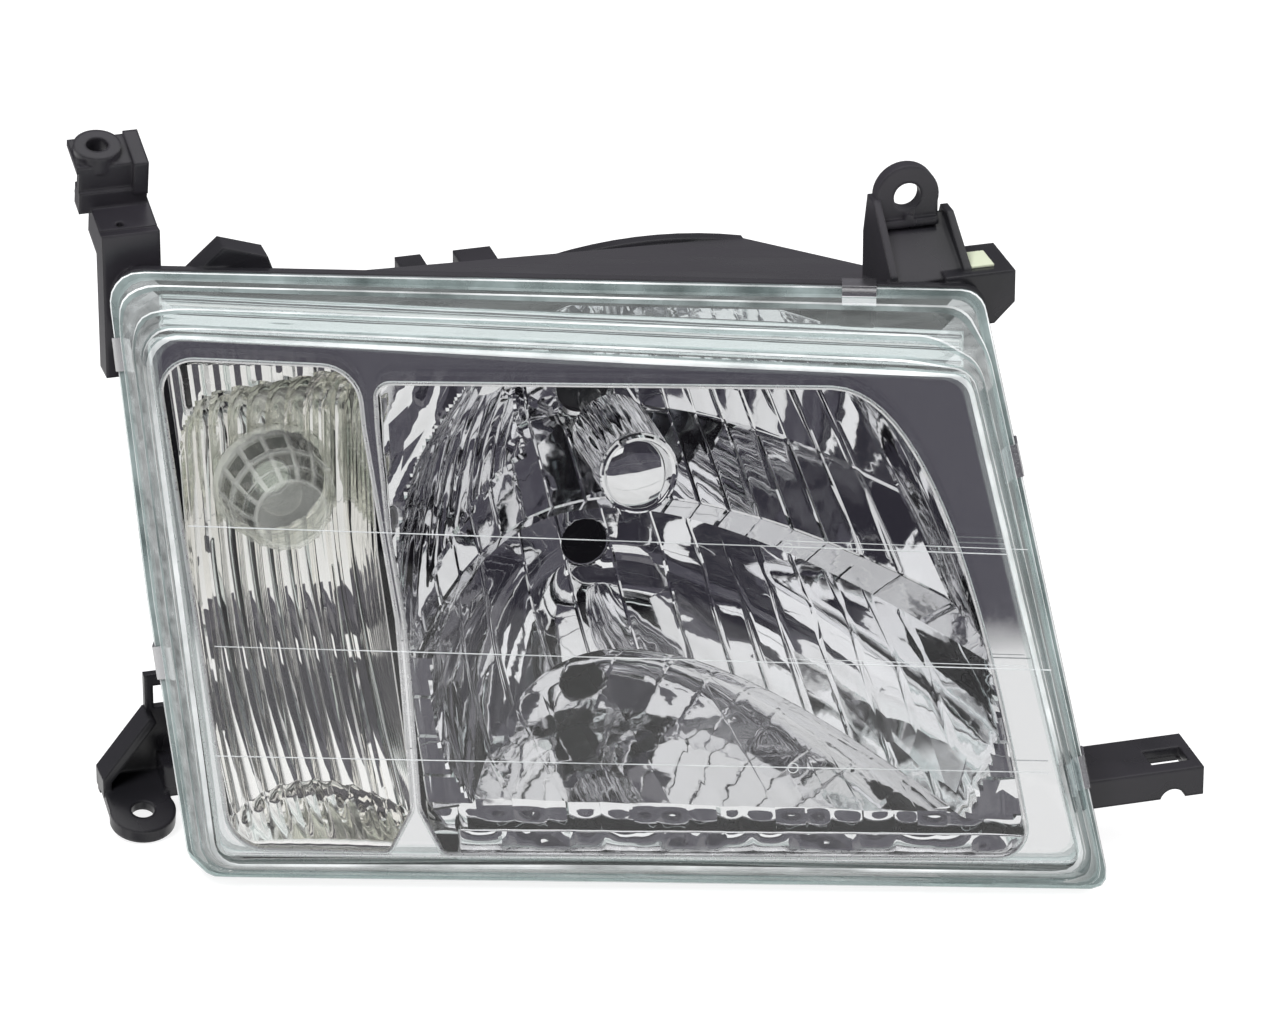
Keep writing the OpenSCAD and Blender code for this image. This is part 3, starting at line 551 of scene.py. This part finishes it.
def build_bezel():
    """Flat mirror sheet with two windows, a rounded rim outside and a rolled lip round each window."""
    top = WINDOWS_AT
    outer = resampled(ccw(rounded(BEZEL)), 6)
    turn = resampled(ccw(rounded(TURN_WINDOW)), 6)
    main = resampled(ccw(main_window()), 6)
    flat_outer = offset(outer, 1.6)
    flat_turn = offset(turn, -1.8)
    flat_main = offset(main, -1.8)
    flat = np.concatenate([flat_outer, flat_turn, flat_main])
    parts = [(list(on_lens(flat[:, 0], flat[:, 1], top)), band(flat_outer, (flat_turn, flat_main)))]
    rim = [(1.6, top), (1.5, top + 0.5), (1.0, top + 0.9), (0.4, top + 0.6), (0.0, top - 0.4),
           (0.2, top - 5), (0.6, 4.5)]
    parts.append(lip(outer, rim, True))
    roll = [(-1.8, top), (-1.5, top + 0.45), (-0.8, top + 0.65), (-0.1, top + 0.3), (0.1, top - 0.6),
            (0.0, top - 2.5), (-0.6, top - 5)]
    parts.append(lip(turn, roll))
    parts.append(lip(main, roll))
    points, faces = join(parts)
    flat_count = len(parts[0][1])
    marked = [(f, 0 if i < flat_count else 1) for i, f in enumerate(faces)]
    add_piece("bezel_mirror", points, marked, [bezel_coat, lip_coat],
              sharp=50, replaces=("bezel",))


# ---------------------------------------------------------------- reflectors

# The sheet of the main reflector is drawn over s, which runs along x from its left to its right
# edge, and z. All the depths named f are measured forward from the origin.
COAT = 2.0  # the optical surface stands this far in front of the moulding, in mm
S_LEFT, S_RIGHT = -105, 134.5
# joints between the facet columns of each bowl, in s, and between the tiers of the low bowl, in z
HIGH_KNOTS = [S_LEFT, -88, -70, -51, -28, -8.6, 12, 31.7, 45.3, 56, 66.5, 78, 88, 98.4, 107.4, 121,
              S_RIGHT]
LOW_KNOTS = [S_LEFT, -92, -78.5, -64, *range(-50, 0, 14), 8, 24, 34,
             *[44.5 + 10.5 * i for i in range(6)], 107.4, 118, S_RIGHT]
TIERS = [14.0, 48.0, 84.0, 126.0]
BLOCKS = 21
APRON_KNOTS = [S_LEFT + (S_RIGHT - S_LEFT) * (i / BLOCKS + 0.006 * math.sin(i * 2.1))
               for i in range(BLOCKS + 1)]
ROOF_Z = 14.0  # height of the ledge between the two bowls
FOOT_Z = -59  # height of the sheet's lower edge
LOW_SEAT = (8.0, 56.0)  # (x, z) of the low-beam bulb


def front_f(x, z):
    """The plane, just behind the lens plane, at which the bowls are cut off."""
    return lens_plane_f(x, z) - 1


# x of the sheet's left and right edges
def main_left(z):
    return -107.6 + 0.067 * np.maximum(0, 56 - z)


def main_right(z):
    return 134.5 - 0.0019 * (z + 40) ** 2 - 5 * np.clip((z + 6) / 20, 0, 1)


def floor_at(f):
    """Height of the mirror floor, f forward of the origin."""
    return -34.7 - 0.07 * f


def cell(values, knots):
    """For each value, the index of its column and its share across that column."""
    knots = np.asarray(knots, float)
    index = np.clip(np.searchsorted(knots, values, "right") - 1, 0, len(knots) - 2)
    share = (values - knots[index]) / (knots[index + 1] - knots[index])
    return index, np.clip(share, 0, 1)


def spread(low, high, step, extra=()):
    """Even values from low to high with the extra values among them."""
    stops = sorted({float(low), float(high), *[float(e) for e in extra if low < e < high]})
    out = []
    for a, b in zip(stops[:-1], stops[1:]):
        pieces = max(1, int(round((b - a) / step)))
        out += list(np.linspace(a, b, pieces, endpoint=False))
    return np.array(out + [stops[-1]])


def x_on_sheet(s, z):
    """Columns lean with the sheet's left and right edges."""
    return main_left(z) + (main_right(z) - main_left(z)) * (s - S_LEFT) / (S_RIGHT - S_LEFT)


def joint_line(s, knots, width):
    """A fine raised line on each joint between two columns."""
    index, share = cell(s, knots)
    pitch = np.diff(knots)[index]
    return np.exp(-(np.minimum(share, 1 - share) * pitch / width) ** 2)


def high_smooth(x, z):
    """The high-beam bowl without its facets: a trough above the seat, round below it."""
    return x * x / 78 + np.minimum(0, z) ** 2 / 44


def high_bowl(x, s, z):
    """Broad facets of the high-beam bowl, nearly smooth, with a fine line at each joint."""
    index, share = cell(s, HIGH_KNOTS)
    sag = np.where(index % 2 == 0, 0.22, 0.12)
    return high_smooth(x, z) + sag * 4 * share * (1 - share) + 0.4 * joint_line(s, HIGH_KNOTS, 0.4)


def low_smooth(x, z):
    """The low-beam bowl without its facets."""
    return -30 + (x - LOW_SEAT[0]) ** 2 / 98 + (z - LOW_SEAT[1]) ** 2 / 80


def low_bowl(x, s, z):
    """Flat panels between upright ridges and three tiers, with slanted facets at the upper left."""
    i, across = cell(s, LOW_KNOTS)
    j, up = cell(z, TIERS)
    knots, tiers = np.array(LOW_KNOTS), np.array(TIERS)

    def corner(di, dj):
        sk, zk = knots[i + di], tiers[j + dj]
        return low_smooth(x_on_sheet(sk, zk), zk)

    low_edge = corner(0, 0) * (1 - across) + corner(1, 0) * across
    high_edge = corner(0, 1) * (1 - across) + corner(1, 1) * across
    flat = low_edge * (1 - up) + high_edge * up
    panel = 0.6 * flat + 0.4 * low_smooth(x, z)
    ridge = 0.5 * joint_line(s, LOW_KNOTS, 0.4)
    tilt = 0.9 * np.sin(i * 2.3 + j * 1.7) * (up - 0.5)
    lean = np.abs(((z - 1.5 * s) / 11.0) % 2 - 1)
    cross = np.abs(((z + 0.75 * s) / 26.0) % 2 - 1)
    facet = low_smooth(x, z) + 1.1 * lean + 1.3 * cross
    upper_left = (s < -14) & (z > 29 + (s + 59) * 0.17)
    return np.where(upper_left, facet, panel + ridge + tilt)


def main_depth(x, s, z, kind):
    """The bowl's depth. Where it is cut off by the front plane, small facets lie on that plane."""
    if kind == "high":
        bowl = high_bowl(x, s, z)
        relief = 0.12 * ((-z) % 16) + 0.5 * np.abs((s / 6.0) % 2 - 1) - 1.0
    else:
        bowl = low_bowl(x, s, z)
        relief = 1.15 * np.clip(bowl - low_smooth(x, z), 0, 2.6) - 1.2
    return np.minimum(front_f(x, z) + relief, bowl + COAT)


def apron_f(x, s, z):
    """The strip under the mirror floor: a row of small pillow blocks."""
    index, share = cell(s, APRON_KNOTS)
    row = np.clip((z - FOOT_Z) / 11, 0, 1)
    pillow = 16 * share * (1 - share) * row * (1 - row)
    tilt = 1.1 * np.sin(index * 2.4) * (share - 0.5) + 1.2 * np.sin(index * 1.3 + 1) * (row - 0.5)
    return front_f(x, z) - 6 + COAT + 0.55 * pillow + tilt


def floor_back(x):
    """Height at which the high-beam bowl meets the mirror floor."""
    height = np.full_like(x, -38.0)
    for _ in range(4):
        height = floor_at(np.minimum(high_smooth(x, height), front_f(x, height)))
    return height


def main_sheet():
    """Rows of points from the foot of the apron up over the floor, both bowls and the ledge."""
    joint_sides = [knot + side for knot in HIGH_KNOTS + LOW_KNOTS for side in (-0.8, 0.8)]
    s = spread(S_LEFT, S_RIGHT, 1.6, HIGH_KNOTS + LOW_KNOTS + APRON_KNOTS + joint_sides)
    rows = []

    def add(z, depth, height=None):
        """A level row. Its depth is taken at z, and it lies at height if that is given."""
        z_row = np.full_like(s, z)
        x = x_on_sheet(s, z)
        at = z_row if height is None else np.full_like(s, height)
        rows.append(np.stack((x, -depth(x, s, z_row), at), axis=1))

    def add_at(height_of, depth):
        """A row whose height changes along it."""
        z_row = height_of(x_on_sheet(s, -30))
        x = x_on_sheet(s, z_row)
        rows.append(np.stack((x, -depth(x, s, z_row), z_row), axis=1))

    def high(x, s, z):
        return main_depth(x, s, z, "high")

    def low(x, s, z):
        return main_depth(x, s, z, "low")

    def ledge_back(x, s, z):
        return np.minimum(low(x, s, z), high(x, s, z) - 0.4)

    above = 0.6  # the coat lies this far over the moulding's level faces
    for share in spread(0, 1, 0.08):
        add_at(lambda x: FOOT_Z + (floor_at(front_f(x, -45)) + above - FOOT_Z) * share, apron_f)
    for share in spread(0, 1, 0.034)[:-1]:
        add_at(lambda x: (floor_back(x) + above) * (1 - share) + ROOF_Z * share, high)
    add(ROOF_Z, high, ROOF_Z + above)
    add(ROOF_Z, ledge_back, ROOF_Z + above)
    for z in spread(ROOF_Z + 2 * above, TIERS[-1], 1.4, TIERS):
        add(z, low)
    return np.array(rows)


def open_round(points, faces, at, radius, y_range):
    """A round hole along Y in a sheet: faces inside it go, and points round it move to its edge."""
    rel = points[:, [0, 2]] - np.array(at)
    reach = np.linalg.norm(rel, axis=1)
    inside = (reach < radius) & (points[:, 1] > y_range[0]) & (points[:, 1] < y_range[1])
    kept = [f for f in faces if not all(inside[i] for i in f)]
    used = np.zeros(len(points), bool)
    used[[i for f in kept for i in f]] = True
    edge = inside & used
    points[edge, 0] = at[0] + rel[edge, 0] / reach[edge] * radius
    points[edge, 2] = at[1] + rel[edge, 1] / reach[edge] * radius
    number = np.cumsum(used) - 1
    return points[used], [tuple(number[i] for i in f) for f in kept]


def build_main_reflector():
    """The mirror coat of both bowls, open at the two bulb seats."""
    rows = main_sheet()
    points, faces = open_round(rows.reshape(-1, 3), grid_faces(*rows.shape[:2]), (0, 0), 10.2, (-12, 4))
    points, faces = open_round(points, faces, LOW_SEAT, 12.5, (-10, 34))
    piece = add_piece("main_reflector_coat", points, faces, chrome, "reflector", 14)
    thicken(piece, 0.5)


def fixed_mirror(name, rows, material, sharp, thickness=0.5):
    """A mirror sheet that stays with the housing, from rows of points."""
    rows = np.array(rows)
    piece = add_piece(name, rows.reshape(-1, 3), grid_faces(*rows.shape[:2]), material,
                      "housing", sharp)
    thicken(piece, thickness, 0)


def build_side_panel():
    """Fixed mirror panel from the bezel's inboard edge back beside the bowl, creased down its middle."""
    edge = bezier((137, -56), (126, 12), (102, 124), (60, 129), 64)
    rows = []
    for k, (u, v) in enumerate(edge):
        front = on_lens(u + 0.5, v, 5.0)
        x_back = main_right(front[2]) - 3 - 0.02 * max(0, front[2] - 14)
        smooth = low_smooth if front[2] > ROOF_Z else high_smooth
        bowl = smooth(x_back, front[2])
        f_back = min(bowl + COAT + 9, -front[1] - 9)
        back = np.array((x_back, -f_back, front[2] - 3))
        row = []
        for t in spread(0, 1, 0.08):
            p = front + (back - front) * t
            crease = 3.2 * min(t, 1 - t) * (1 if t < 0.5 else 1.25)
            middle = math.sin(math.pi * t)
            wave = 1.5 * math.sin(0.36 * k + 5 * t) * middle * (0.5 + 0.5 * math.cos(0.09 * k))
            row.append(p + np.array((2.0 + crease + wave, 0, 0.6 * wave)) * middle)
        rows.append(row)
    fixed_mirror("inboard_mirror_panel", rows, chrome, 20)


def build_foot_row():
    """Fixed row of pillow blocks behind the bezel's lower edge."""
    u = spread(-90, 140, 1.6)
    blocks = (u + 90) / 13.6 + 0.35 * np.sin(u / 31)
    share = blocks % 1
    index = np.floor(blocks)
    rows = []
    for t in spread(0, 1, 0.07):
        pillow = 16 * share * (1 - share) * t * (1 - t)
        tilt = 1.3 * np.sin(index * 2.1) * (share - 0.5) + 1.4 * np.sin(index * 1.4 + 2) * (t - 0.5)
        ends = 5 * np.clip((u - 118) / 22, 0, 1) ** 2
        height = 5.6 - 0.6 * t + 0.6 * pillow + tilt * math.sin(math.pi * t) + ends * t
        rows.append(on_lens(u, -66.2 + 12.6 * t, height))
    fixed_mirror("foot_block_row", rows, chrome, 18)


def build_brow_strip():
    """Bright strip above the bezel, seen through the slanted top wall of the lens, with waves along it."""
    rows = []
    for x in spread(-208, 110, 2.0):
        low = 149.4 - 13.0 * (x + 213) / 325
        wave = 1.4 + 0.08 * (math.sin(x / 9.0) + 0.6 * math.sin(x / 3.7 + 1))
        row = []
        for t in spread(0, 1, 0.05):
            ripple = wave * math.sin(3 * math.pi * t) * (1 - 0.4 * t)
            row.append(on_lens(x, low + 15 * t, 5.2 - 2.2 * t + ripple))
        rows.append(row)
    fixed_mirror("brow_mirror_strip", rows, bezel_coat, 40, 0.4)


SHIELD_R = 16.0
SHIELD_NECK, SHIELD_FRONT = -50, -60.5  # y of the start of the cup's rim and of its face


def shield_leg(angle):
    """A flat leg from the cup back to the reflector, at an angle in degrees clockwise from the top."""
    t = math.radians(90 - angle)
    out = np.array((math.cos(t), 0, math.sin(t)))
    side = np.array((-math.sin(t), 0, math.cos(t)))
    inner, outer, half = SHIELD_R - 1.3, SHIELD_R - 0.3, 4
    corners = []
    for y in (-21, 18):
        middle = np.array((LOW_SEAT[0], y, LOW_SEAT[1]))
        for reach, across in ((inner, -half), (inner, half), (outer, half), (outer, -half)):
            corners.append(middle + out * reach + side * across)
    return corners, [(0, 1, 2, 3), (7, 6, 5, 4), (0, 4, 5, 1), (1, 5, 6, 2), (2, 6, 7, 3), (3, 7, 4, 0)]


def build_shield():
    """Bulb shield: fluted cup with a bright rolled rim and a gently domed face."""
    count = 168
    flutes = 24
    # (reach beyond the cup's radius, y), then the domed face as (radius, y)
    wall = [(-1.2, -14), (0, -14.4), (0, -20), (0, SHIELD_NECK), (0, -55.4), (0.5, -56.4),
            (0.6, -57.6), (0.1, -58.6), (-0.8, -59.1), (-1.8, -58.9), (-2.2, -58.6)]
    face = [(12, -59.3), (9, -59.85), (6, -60.2), (3, -60.4)]
    profile = [(SHIELD_R + reach, y) for reach, y in wall] + face
    rings = []
    for radius, y in profile:
        ring = []
        for i in range(count):
            t = 2 * math.pi * i / count
            fluted = y in (-20, SHIELD_NECK)
            reach = radius + (0.55 * abs(math.sin(flutes * t / 2)) if fluted else 0.0)
            lean = 0.2 * reach * math.sin(t) if y < SHIELD_NECK else 0.0
            ring.append((LOW_SEAT[0] + reach * math.cos(t), y + lean, LOW_SEAT[1] + reach * math.sin(t)))
        rings.append(ring)
    points = [p for ring in rings for p in ring] + [(LOW_SEAT[0], SHIELD_FRONT, LOW_SEAT[1])]
    faces = [f[::-1] for f in grid_faces(len(rings), count, True)]
    last = (len(rings) - 1) * count
    faces += [(last + (i + 1) % count, last + i, len(points) - 1) for i in range(count)]
    points, faces = join([(points, faces), shield_leg(-127), shield_leg(67)])
    add_piece("bulb_shield_cup", points, faces, chrome, "reflector", 26,
              replaces=("bulb_shield",))


TURN_SEAT = (-145, 73)  # (x, z) of the turn bulb
# The turn chamber is drawn over s too: across its back from TURN_LEFT, then up its inboard wall
# from TURN_CORNER to TURN_END.
TURN_LEFT, TURN_CORNER, TURN_END = -188.3, -124, -84
TURN_KNOTS = [TURN_LEFT + 8.04 * i for i in range(9)] + [TURN_CORNER + 5.0 * i for i in range(1, 9)]


def turn_back(x, z):
    """The smooth back of the turn chamber, flat round the bulb seat."""
    side = np.maximum(0, TURN_SEAT[0] - x - 25)
    rise = np.maximum(0, np.abs(z - TURN_SEAT[1]) - 26)
    return 55 + rise ** 2 / np.where(z > TURN_SEAT[1], 38, 182) + side ** 2 * 0.06


def turn_row(s, z, deeper=0.0):
    """A row of points across the back, round the corner and up the inboard wall."""
    z_row = np.zeros_like(s) + z
    on_back = s < TURN_CORNER
    turn_wide, turn_deep, turn_share = 12.5, 14, 0.35
    left = TURN_LEFT + 0.063 * (133 - z_row)
    right = -112 + 0.067 * np.maximum(0, 56 - z_row)
    corner = right - turn_wide
    across = (s - TURN_LEFT) / (TURN_CORNER - TURN_LEFT)
    x = np.where(on_back, left + (corner - left) * across, corner)
    back = turn_back(np.minimum(x, corner), z_row) - deeper
    t = np.clip((s - TURN_CORNER) / (TURN_END - TURN_CORNER), 0, 1)
    angle = np.clip(t / turn_share, 0, 1) * math.pi / 2
    along = np.clip((t - turn_share) / (1 - turn_share), 0, 1)
    to_front = np.maximum(0, front_f(right, z_row) - back - turn_deep)
    x = x + np.where(on_back, 0, turn_wide * np.sin(angle) + 1.2 * along)
    f = back + turn_deep * (1 - np.cos(angle)) + to_front * along
    _, share = cell(s, TURN_KNOTS)
    flute = COAT - 0.6 + np.where(on_back, 1.9, 1.1) * (1 - np.sin(math.pi * share))
    x = x - flute * np.sin(angle)
    f = np.minimum(front_f(x, z_row) - 1.2 + flute, f + flute * np.where(on_back, 1, np.cos(angle)))
    return np.stack((x, -f, z_row), axis=1)


def build_turn_reflector():
    """The fluted turn chamber: a ramp up from the foot to an arch, then the back up to the top."""
    s = spread(TURN_LEFT, TURN_END, 1.1, TURN_KNOTS)
    _, across = cell(s, TURN_KNOTS)
    arch = -40.5 - 7.5 * np.clip((s + 155) / 33, -1.1, 1.1) ** 2 - 1.6 * np.sin(math.pi * across)
    ramp_top = turn_row(s, arch - 2, 8.0)
    ramp_foot = np.array(ramp_top)
    ramp_foot[:, 2] = -60
    ramp_foot[:, 1] = -front_f(ramp_foot[:, 0], ramp_foot[:, 2]) - 4
    rows = []
    for share in spread(0, 1, 0.1)[::-1]:
        rows.append(ramp_top + (ramp_foot - ramp_top) * np.array((share, share ** 1.5, share)))
    rows.append(turn_row(s, arch - 0.6, 1.2))
    flat_from = TURN_SEAT[1] - 26
    for share in spread(0, 1, 0.024):
        rows.append(turn_row(s, arch + (flat_from - arch) * share))
    for z in spread(flat_from, 133, 2.0, (TURN_SEAT[1] + 26,))[1:]:
        rows.append(turn_row(s, z))
    rows = np.array(rows)
    faces = grid_faces(*rows.shape[:2])
    points, faces = open_round(rows.reshape(-1, 3), faces, TURN_SEAT, 21.7, (-70, -50))
    piece = add_piece("turn_reflector_coat", points, faces, turn_coat, "housing", 18,
                      replaces=("turn_reflector",))
    thicken(piece, 0.5)


# ---------------------------------------------------------------- turn bulb cover and clips


def build_turn_cover():
    """Clear ribbed cup over the turn bulb: two rows of panels with raised ribs between them."""
    at = TURN_SEAT
    # radius, y, and the material of the band after it: 0 window row, 1 solid ring, 2 front
    profile = [(25.0, -57.85, 1), (25.2, -59.0, 1), (23.4, -60.6, 1), (22.6, -62.6, 0), (20.9, -72.2, 1),
               (21.6, -73.0, 1), (21.4, -74.4, 1), (20.3, -75.2, 0), (18.4, -82.8, 1), (18.6, -83.6, 1),
               (18.2, -84.6, 0), (16.6, -87.8, 0), (15.6, -89.8, 1), (14.9, -90.6, 1), (14.0, -90.6, 1),
               (13.4, -90.0, 2), (8.0, -90.3, 2), (4.0, -90.4, 2)]
    ribs, across = 14, 12
    count = ribs * across
    rings = []
    rib_height = {0: 0.8, 1: 0.8, 2: 0.28, across - 1: 0.28}
    for radius, y, _ in profile:
        ring = []
        for i in range(count):
            t = 2 * math.pi * i / count
            reach = radius + (rib_height.get(i % across, 0) if -84 < y < -62 else 0)
            ring.append((at[0] + reach * math.cos(t), y, at[1] + reach * math.sin(t)))
        rings.append(ring)
    points = [p for ring in rings for p in ring] + [(at[0], -90.4, at[1])]
    faces = []
    for j, (_, _, kind) in enumerate(profile[:-1]):
        for i, face in enumerate(grid_faces(2, count, True, j * count)):
            faces.append((face[::-1], 1 if kind == 0 and i % across in (0, 1, across - 1) else kind))
    last = (len(rings) - 1) * count
    faces += [((last + (i + 1) % count, last + i, len(points) - 1), 2) for i in range(count)]
    piece = add_piece("turn_cover_ribbed", points, faces, [cover_clear, cover_rib, cover_front],
                      sharp=16, replaces=("turn_bulb_cover",))
    thicken(piece, 1.4, 1)


CLIP_PLACES = [(1, 0.2), (1, 0.72), (2, 0.14), (3, 0.25), (4, 0.24)]  # (side of FLANGE, share)
CLIP_WIDTH = 13.6
CLIP_STEEL = 0.9


def clip_section(run):
    """Closed section of a clip as (inset, height), for a lens wall that runs in by run."""
    slope = 20.0 / run
    tip_in = min(run * 0.4, 1.6)
    line = np.array([(1.2, -10.9), (-0.4, -10.55), (-0.55, -9.6), (-0.55, 3.4), (-0.3, 4.3), (0.6, 4.6),
                     (3.4, 4.7), (4.6, 5.6), (4.4 + tip_in, 5.4 + tip_in * slope),
                     (5.4 + tip_in, 6.1 + tip_in * slope * 0.9)])
    steps = np.gradient(line, axis=0)
    normal = np.stack((steps[:, 1], -steps[:, 0]), axis=1)
    normal /= np.linalg.norm(normal, axis=1)[:, None]
    half = normal * CLIP_STEEL / 2
    return np.concatenate([line - half, (line + half)[::-1]])


def clip_at(side, share, face):
    """Points and faces of one clip, at a share of the way along a side of the flange."""
    a = np.array(FLANGE[side][:2], float)
    b = np.array(FLANGE[(side + 1) % len(FLANGE)][:2], float)
    at = a + (b - a) * share
    along = (b - a) / np.linalg.norm(b - a)
    inward = np.array((-along[1], along[0]))
    loop = clip_section(max(4.0, ray_to(face, at, inward) - 4.2))
    points = []
    for shift in (-CLIP_WIDTH / 2, CLIP_WIDTH / 2):
        for inset, height in loop:
            p = at + inward * inset + along * shift
            points.append(on_lens(p[0], p[1], height))
    count = len(loop)
    faces = [(i, (i + 1) % count, (i + 1) % count + count, i + count) for i in range(count)]
    for i in range(count // 2 - 1):
        cap = (i, i + 1, count - 2 - i, count - 1 - i)
        faces.append(cap[::-1])
        faces.append(tuple(count + k for k in cap))
    return points, faces


def build_clips():
    """Spring clips round the rim, each bent over the edge and lying along the lens wall."""
    face = rounded(FACE)
    points, faces = join([clip_at(side, share, face) for side, share in CLIP_PLACES])
    add_piece("lens_spring_clips", points, faces, steel, sharp=35,
              replaces=("lens_clips",))


# ---------------------------------------------------------------- stage, light and camera


def build_stage():
    """A plain pale floor just under the part, which the mirrors don't see."""
    low_z = cad_bounds[0][2]
    material, tree, out = new_material("pale_floor")
    glow = node(tree, "Emission", {"Color": rgba(1, 1, 1), "Strength": 0.86})
    shade = node(tree, "BsdfDiffuse", {"Color": rgba(0.30, 0.30, 0.30)})
    both = node(tree, "AddShader", {0: glow.outputs[0], 1: shade.outputs[0]})
    tree.links.new(both.outputs[0], out.inputs[0])
    mesh = bpy.data.meshes.new("floor")
    half_x, front, back = 1.5, -1.6, 2.4
    mesh.from_pydata([(-half_x, front, 0), (half_x, front, 0), (half_x, back, 0), (-half_x, back, 0)], [],
                     [(0, 1, 2, 3)])
    mesh.materials.append(material)
    floor = bpy.data.objects.new("floor", mesh)
    floor.location.z = low_z
    bpy.context.scene.collection.objects.link(floor)
    floor.visible_glossy = False


def sky_axes(azimuth, elevation):
    """The direction towards a place in the sky, and the level direction across it."""
    a, e = math.radians(azimuth), math.radians(elevation)
    away = Vector((math.sin(a) * math.cos(e), -math.cos(a) * math.cos(e), math.sin(e)))
    return away, Vector((math.cos(a), math.sin(a), 0))


def soft_box(tree, ray, azimuth, elevation, width, height, turn=0, soft=0.006):
    """Share 1 inside a rectangle of the sky and 0 outside it, in degrees. Azimuth 0 is forward."""
    middle, across = sky_axes(azimuth, elevation)
    across = Matrix.Rotation(math.radians(turn), 3, middle) @ across
    up = middle.cross(across)

    def dot(direction):
        return node(tree, "VectorMath", {0: ray, 1: direction}, operation="DOT_PRODUCT").outputs["Value"]

    def maths(operation, a, b):
        return node(tree, "Math", {0: a, 1: b}, operation=operation).outputs[0]

    forward = dot(middle)
    safe = maths("MAXIMUM", forward, 0.001)
    share = ramp(tree, forward, 0.0, 0.02, 0, 1)
    for direction, size in ((across, width), (up, height)):
        off = maths("DIVIDE", dot(direction), safe)
        off = maths("ABSOLUTE", off, 0)
        limit = math.tan(math.radians(size / 2))
        share = maths("MULTIPLY", share, ramp(tree, off, limit * (1 + soft) + soft / 2, limit, 0, 1))
    return share


DARK_ROOM = (0.083, 0.079, 0.098)
STUDIO = [
    # azimuth, elevation, width, height, turn, colour: later patches cover earlier ones
    (-19, 24.7, 108, 51.0, 0, DARK_ROOM),
    (-8, 31, 84, 34, 0, (0.030, 0.028, 0.038)),
    (-44, 8, 30, 8, 0, (0.16, 0.155, 0.17)),
    (-14, 24, 20, 8, 6, (1.0, 1.0, 1.0)),
    (180, 10, 110, 70, 0, (0.16, 0.155, 0.17)),
    (76, 8, 8, 120, 4, (0.03, 0.03, 0.035)),
    (-90, 8, 8, 120, -4, (0.03, 0.03, 0.035)),
    (20, -74, 80, 30, 0, (0.22, 0.22, 0.23)),
    (40, -24, 30, 5, 10, (0.10, 0.10, 0.11)),
]


def build_world():
    """White to the camera, and to the mirrors a pale studio with dark and white patches."""
    world = bpy.data.worlds.new("studio")
    bpy.context.scene.world = world
    world.use_nodes = True
    tree = world.node_tree
    tree.nodes.clear()
    out = tree.nodes.new("ShaderNodeOutputWorld")
    ray = node(tree, "TexCoord").outputs["Generated"]
    height = node(tree, "SeparateXYZ", {"Vector": ray}).outputs["Z"]
    up_share = ramp(tree, height, -0.7, 0.7, 0, 1)
    colour = colour_mix(tree, up_share, rgba(0.80, 0.80, 0.79), rgba(1.05, 1.05, 1.06))
    for *box, tint in STUDIO:
        colour = colour_mix(tree, soft_box(tree, ray, *box), colour, rgba(*tint))
    dim = node(tree, "Background", {"Color": colour, "Strength": 1.0})
    bright = node(tree, "Background", {"Color": rgba(1, 1, 1), "Strength": 1.0})
    seen = node(tree, "LightPath").outputs["Is Camera Ray"]
    mixed = shader_mix(tree, seen, dim.outputs[0], bright.outputs[0])
    tree.links.new(mixed, out.inputs[0])


def area_light(name, place, target, size, watts):
    lamp = bpy.data.lights.new(name, "AREA")
    lamp.shape = "SQUARE"
    lamp.size = size
    lamp.energy = watts
    light = bpy.data.objects.new(name, lamp)
    bpy.context.scene.collection.objects.link(light)
    light.location = place
    light.visible_glossy = False
    light.rotation_euler = (Vector(target) - Vector(place)).to_track_quat("-Z", "Y").to_euler()


def build_camera():
    """At the photograph's angle: 16 degrees to the outboard side and 26 degrees up, 3 m away."""
    away, right = sky_axes(-16, 26)
    up = away.cross(right)
    distance = 3.0
    frame_width = 0.512
    target = right * 0.024 + up * 0.0112 + away * 0.130
    data = bpy.data.cameras.new("camera")
    data.sensor_width = 36
    data.lens = data.sensor_width * distance / frame_width
    data.clip_end = 20
    camera = bpy.data.objects.new("camera", data)
    bpy.context.scene.collection.objects.link(camera)
    turn = Matrix((right, up, away)).transposed().to_4x4()
    camera.matrix_world = Matrix.Translation(target + away * distance) @ turn
    bpy.context.scene.camera = camera


finish_cad_nodes()
build_lens()
build_lens_marks()
build_bezel()
build_main_reflector()
build_side_panel()
build_foot_row()
build_brow_strip()
build_shield()
build_turn_reflector()
build_turn_cover()
build_clips()
build_stage()
build_world()
build_camera()
area_light("key", (-0.9, -0.9, 1.7), (0, -0.1, 0), 0.7, 34)
area_light("fill", (1.3, -0.7, 0.9), (0, -0.1, 0), 0.7, 14)
bpy.context.scene.view_settings.view_transform = "Standard"
bpy.context.scene.cycles.transparent_max_bounces = 32
bpy.context.scene.cycles.glossy_bounces = 6
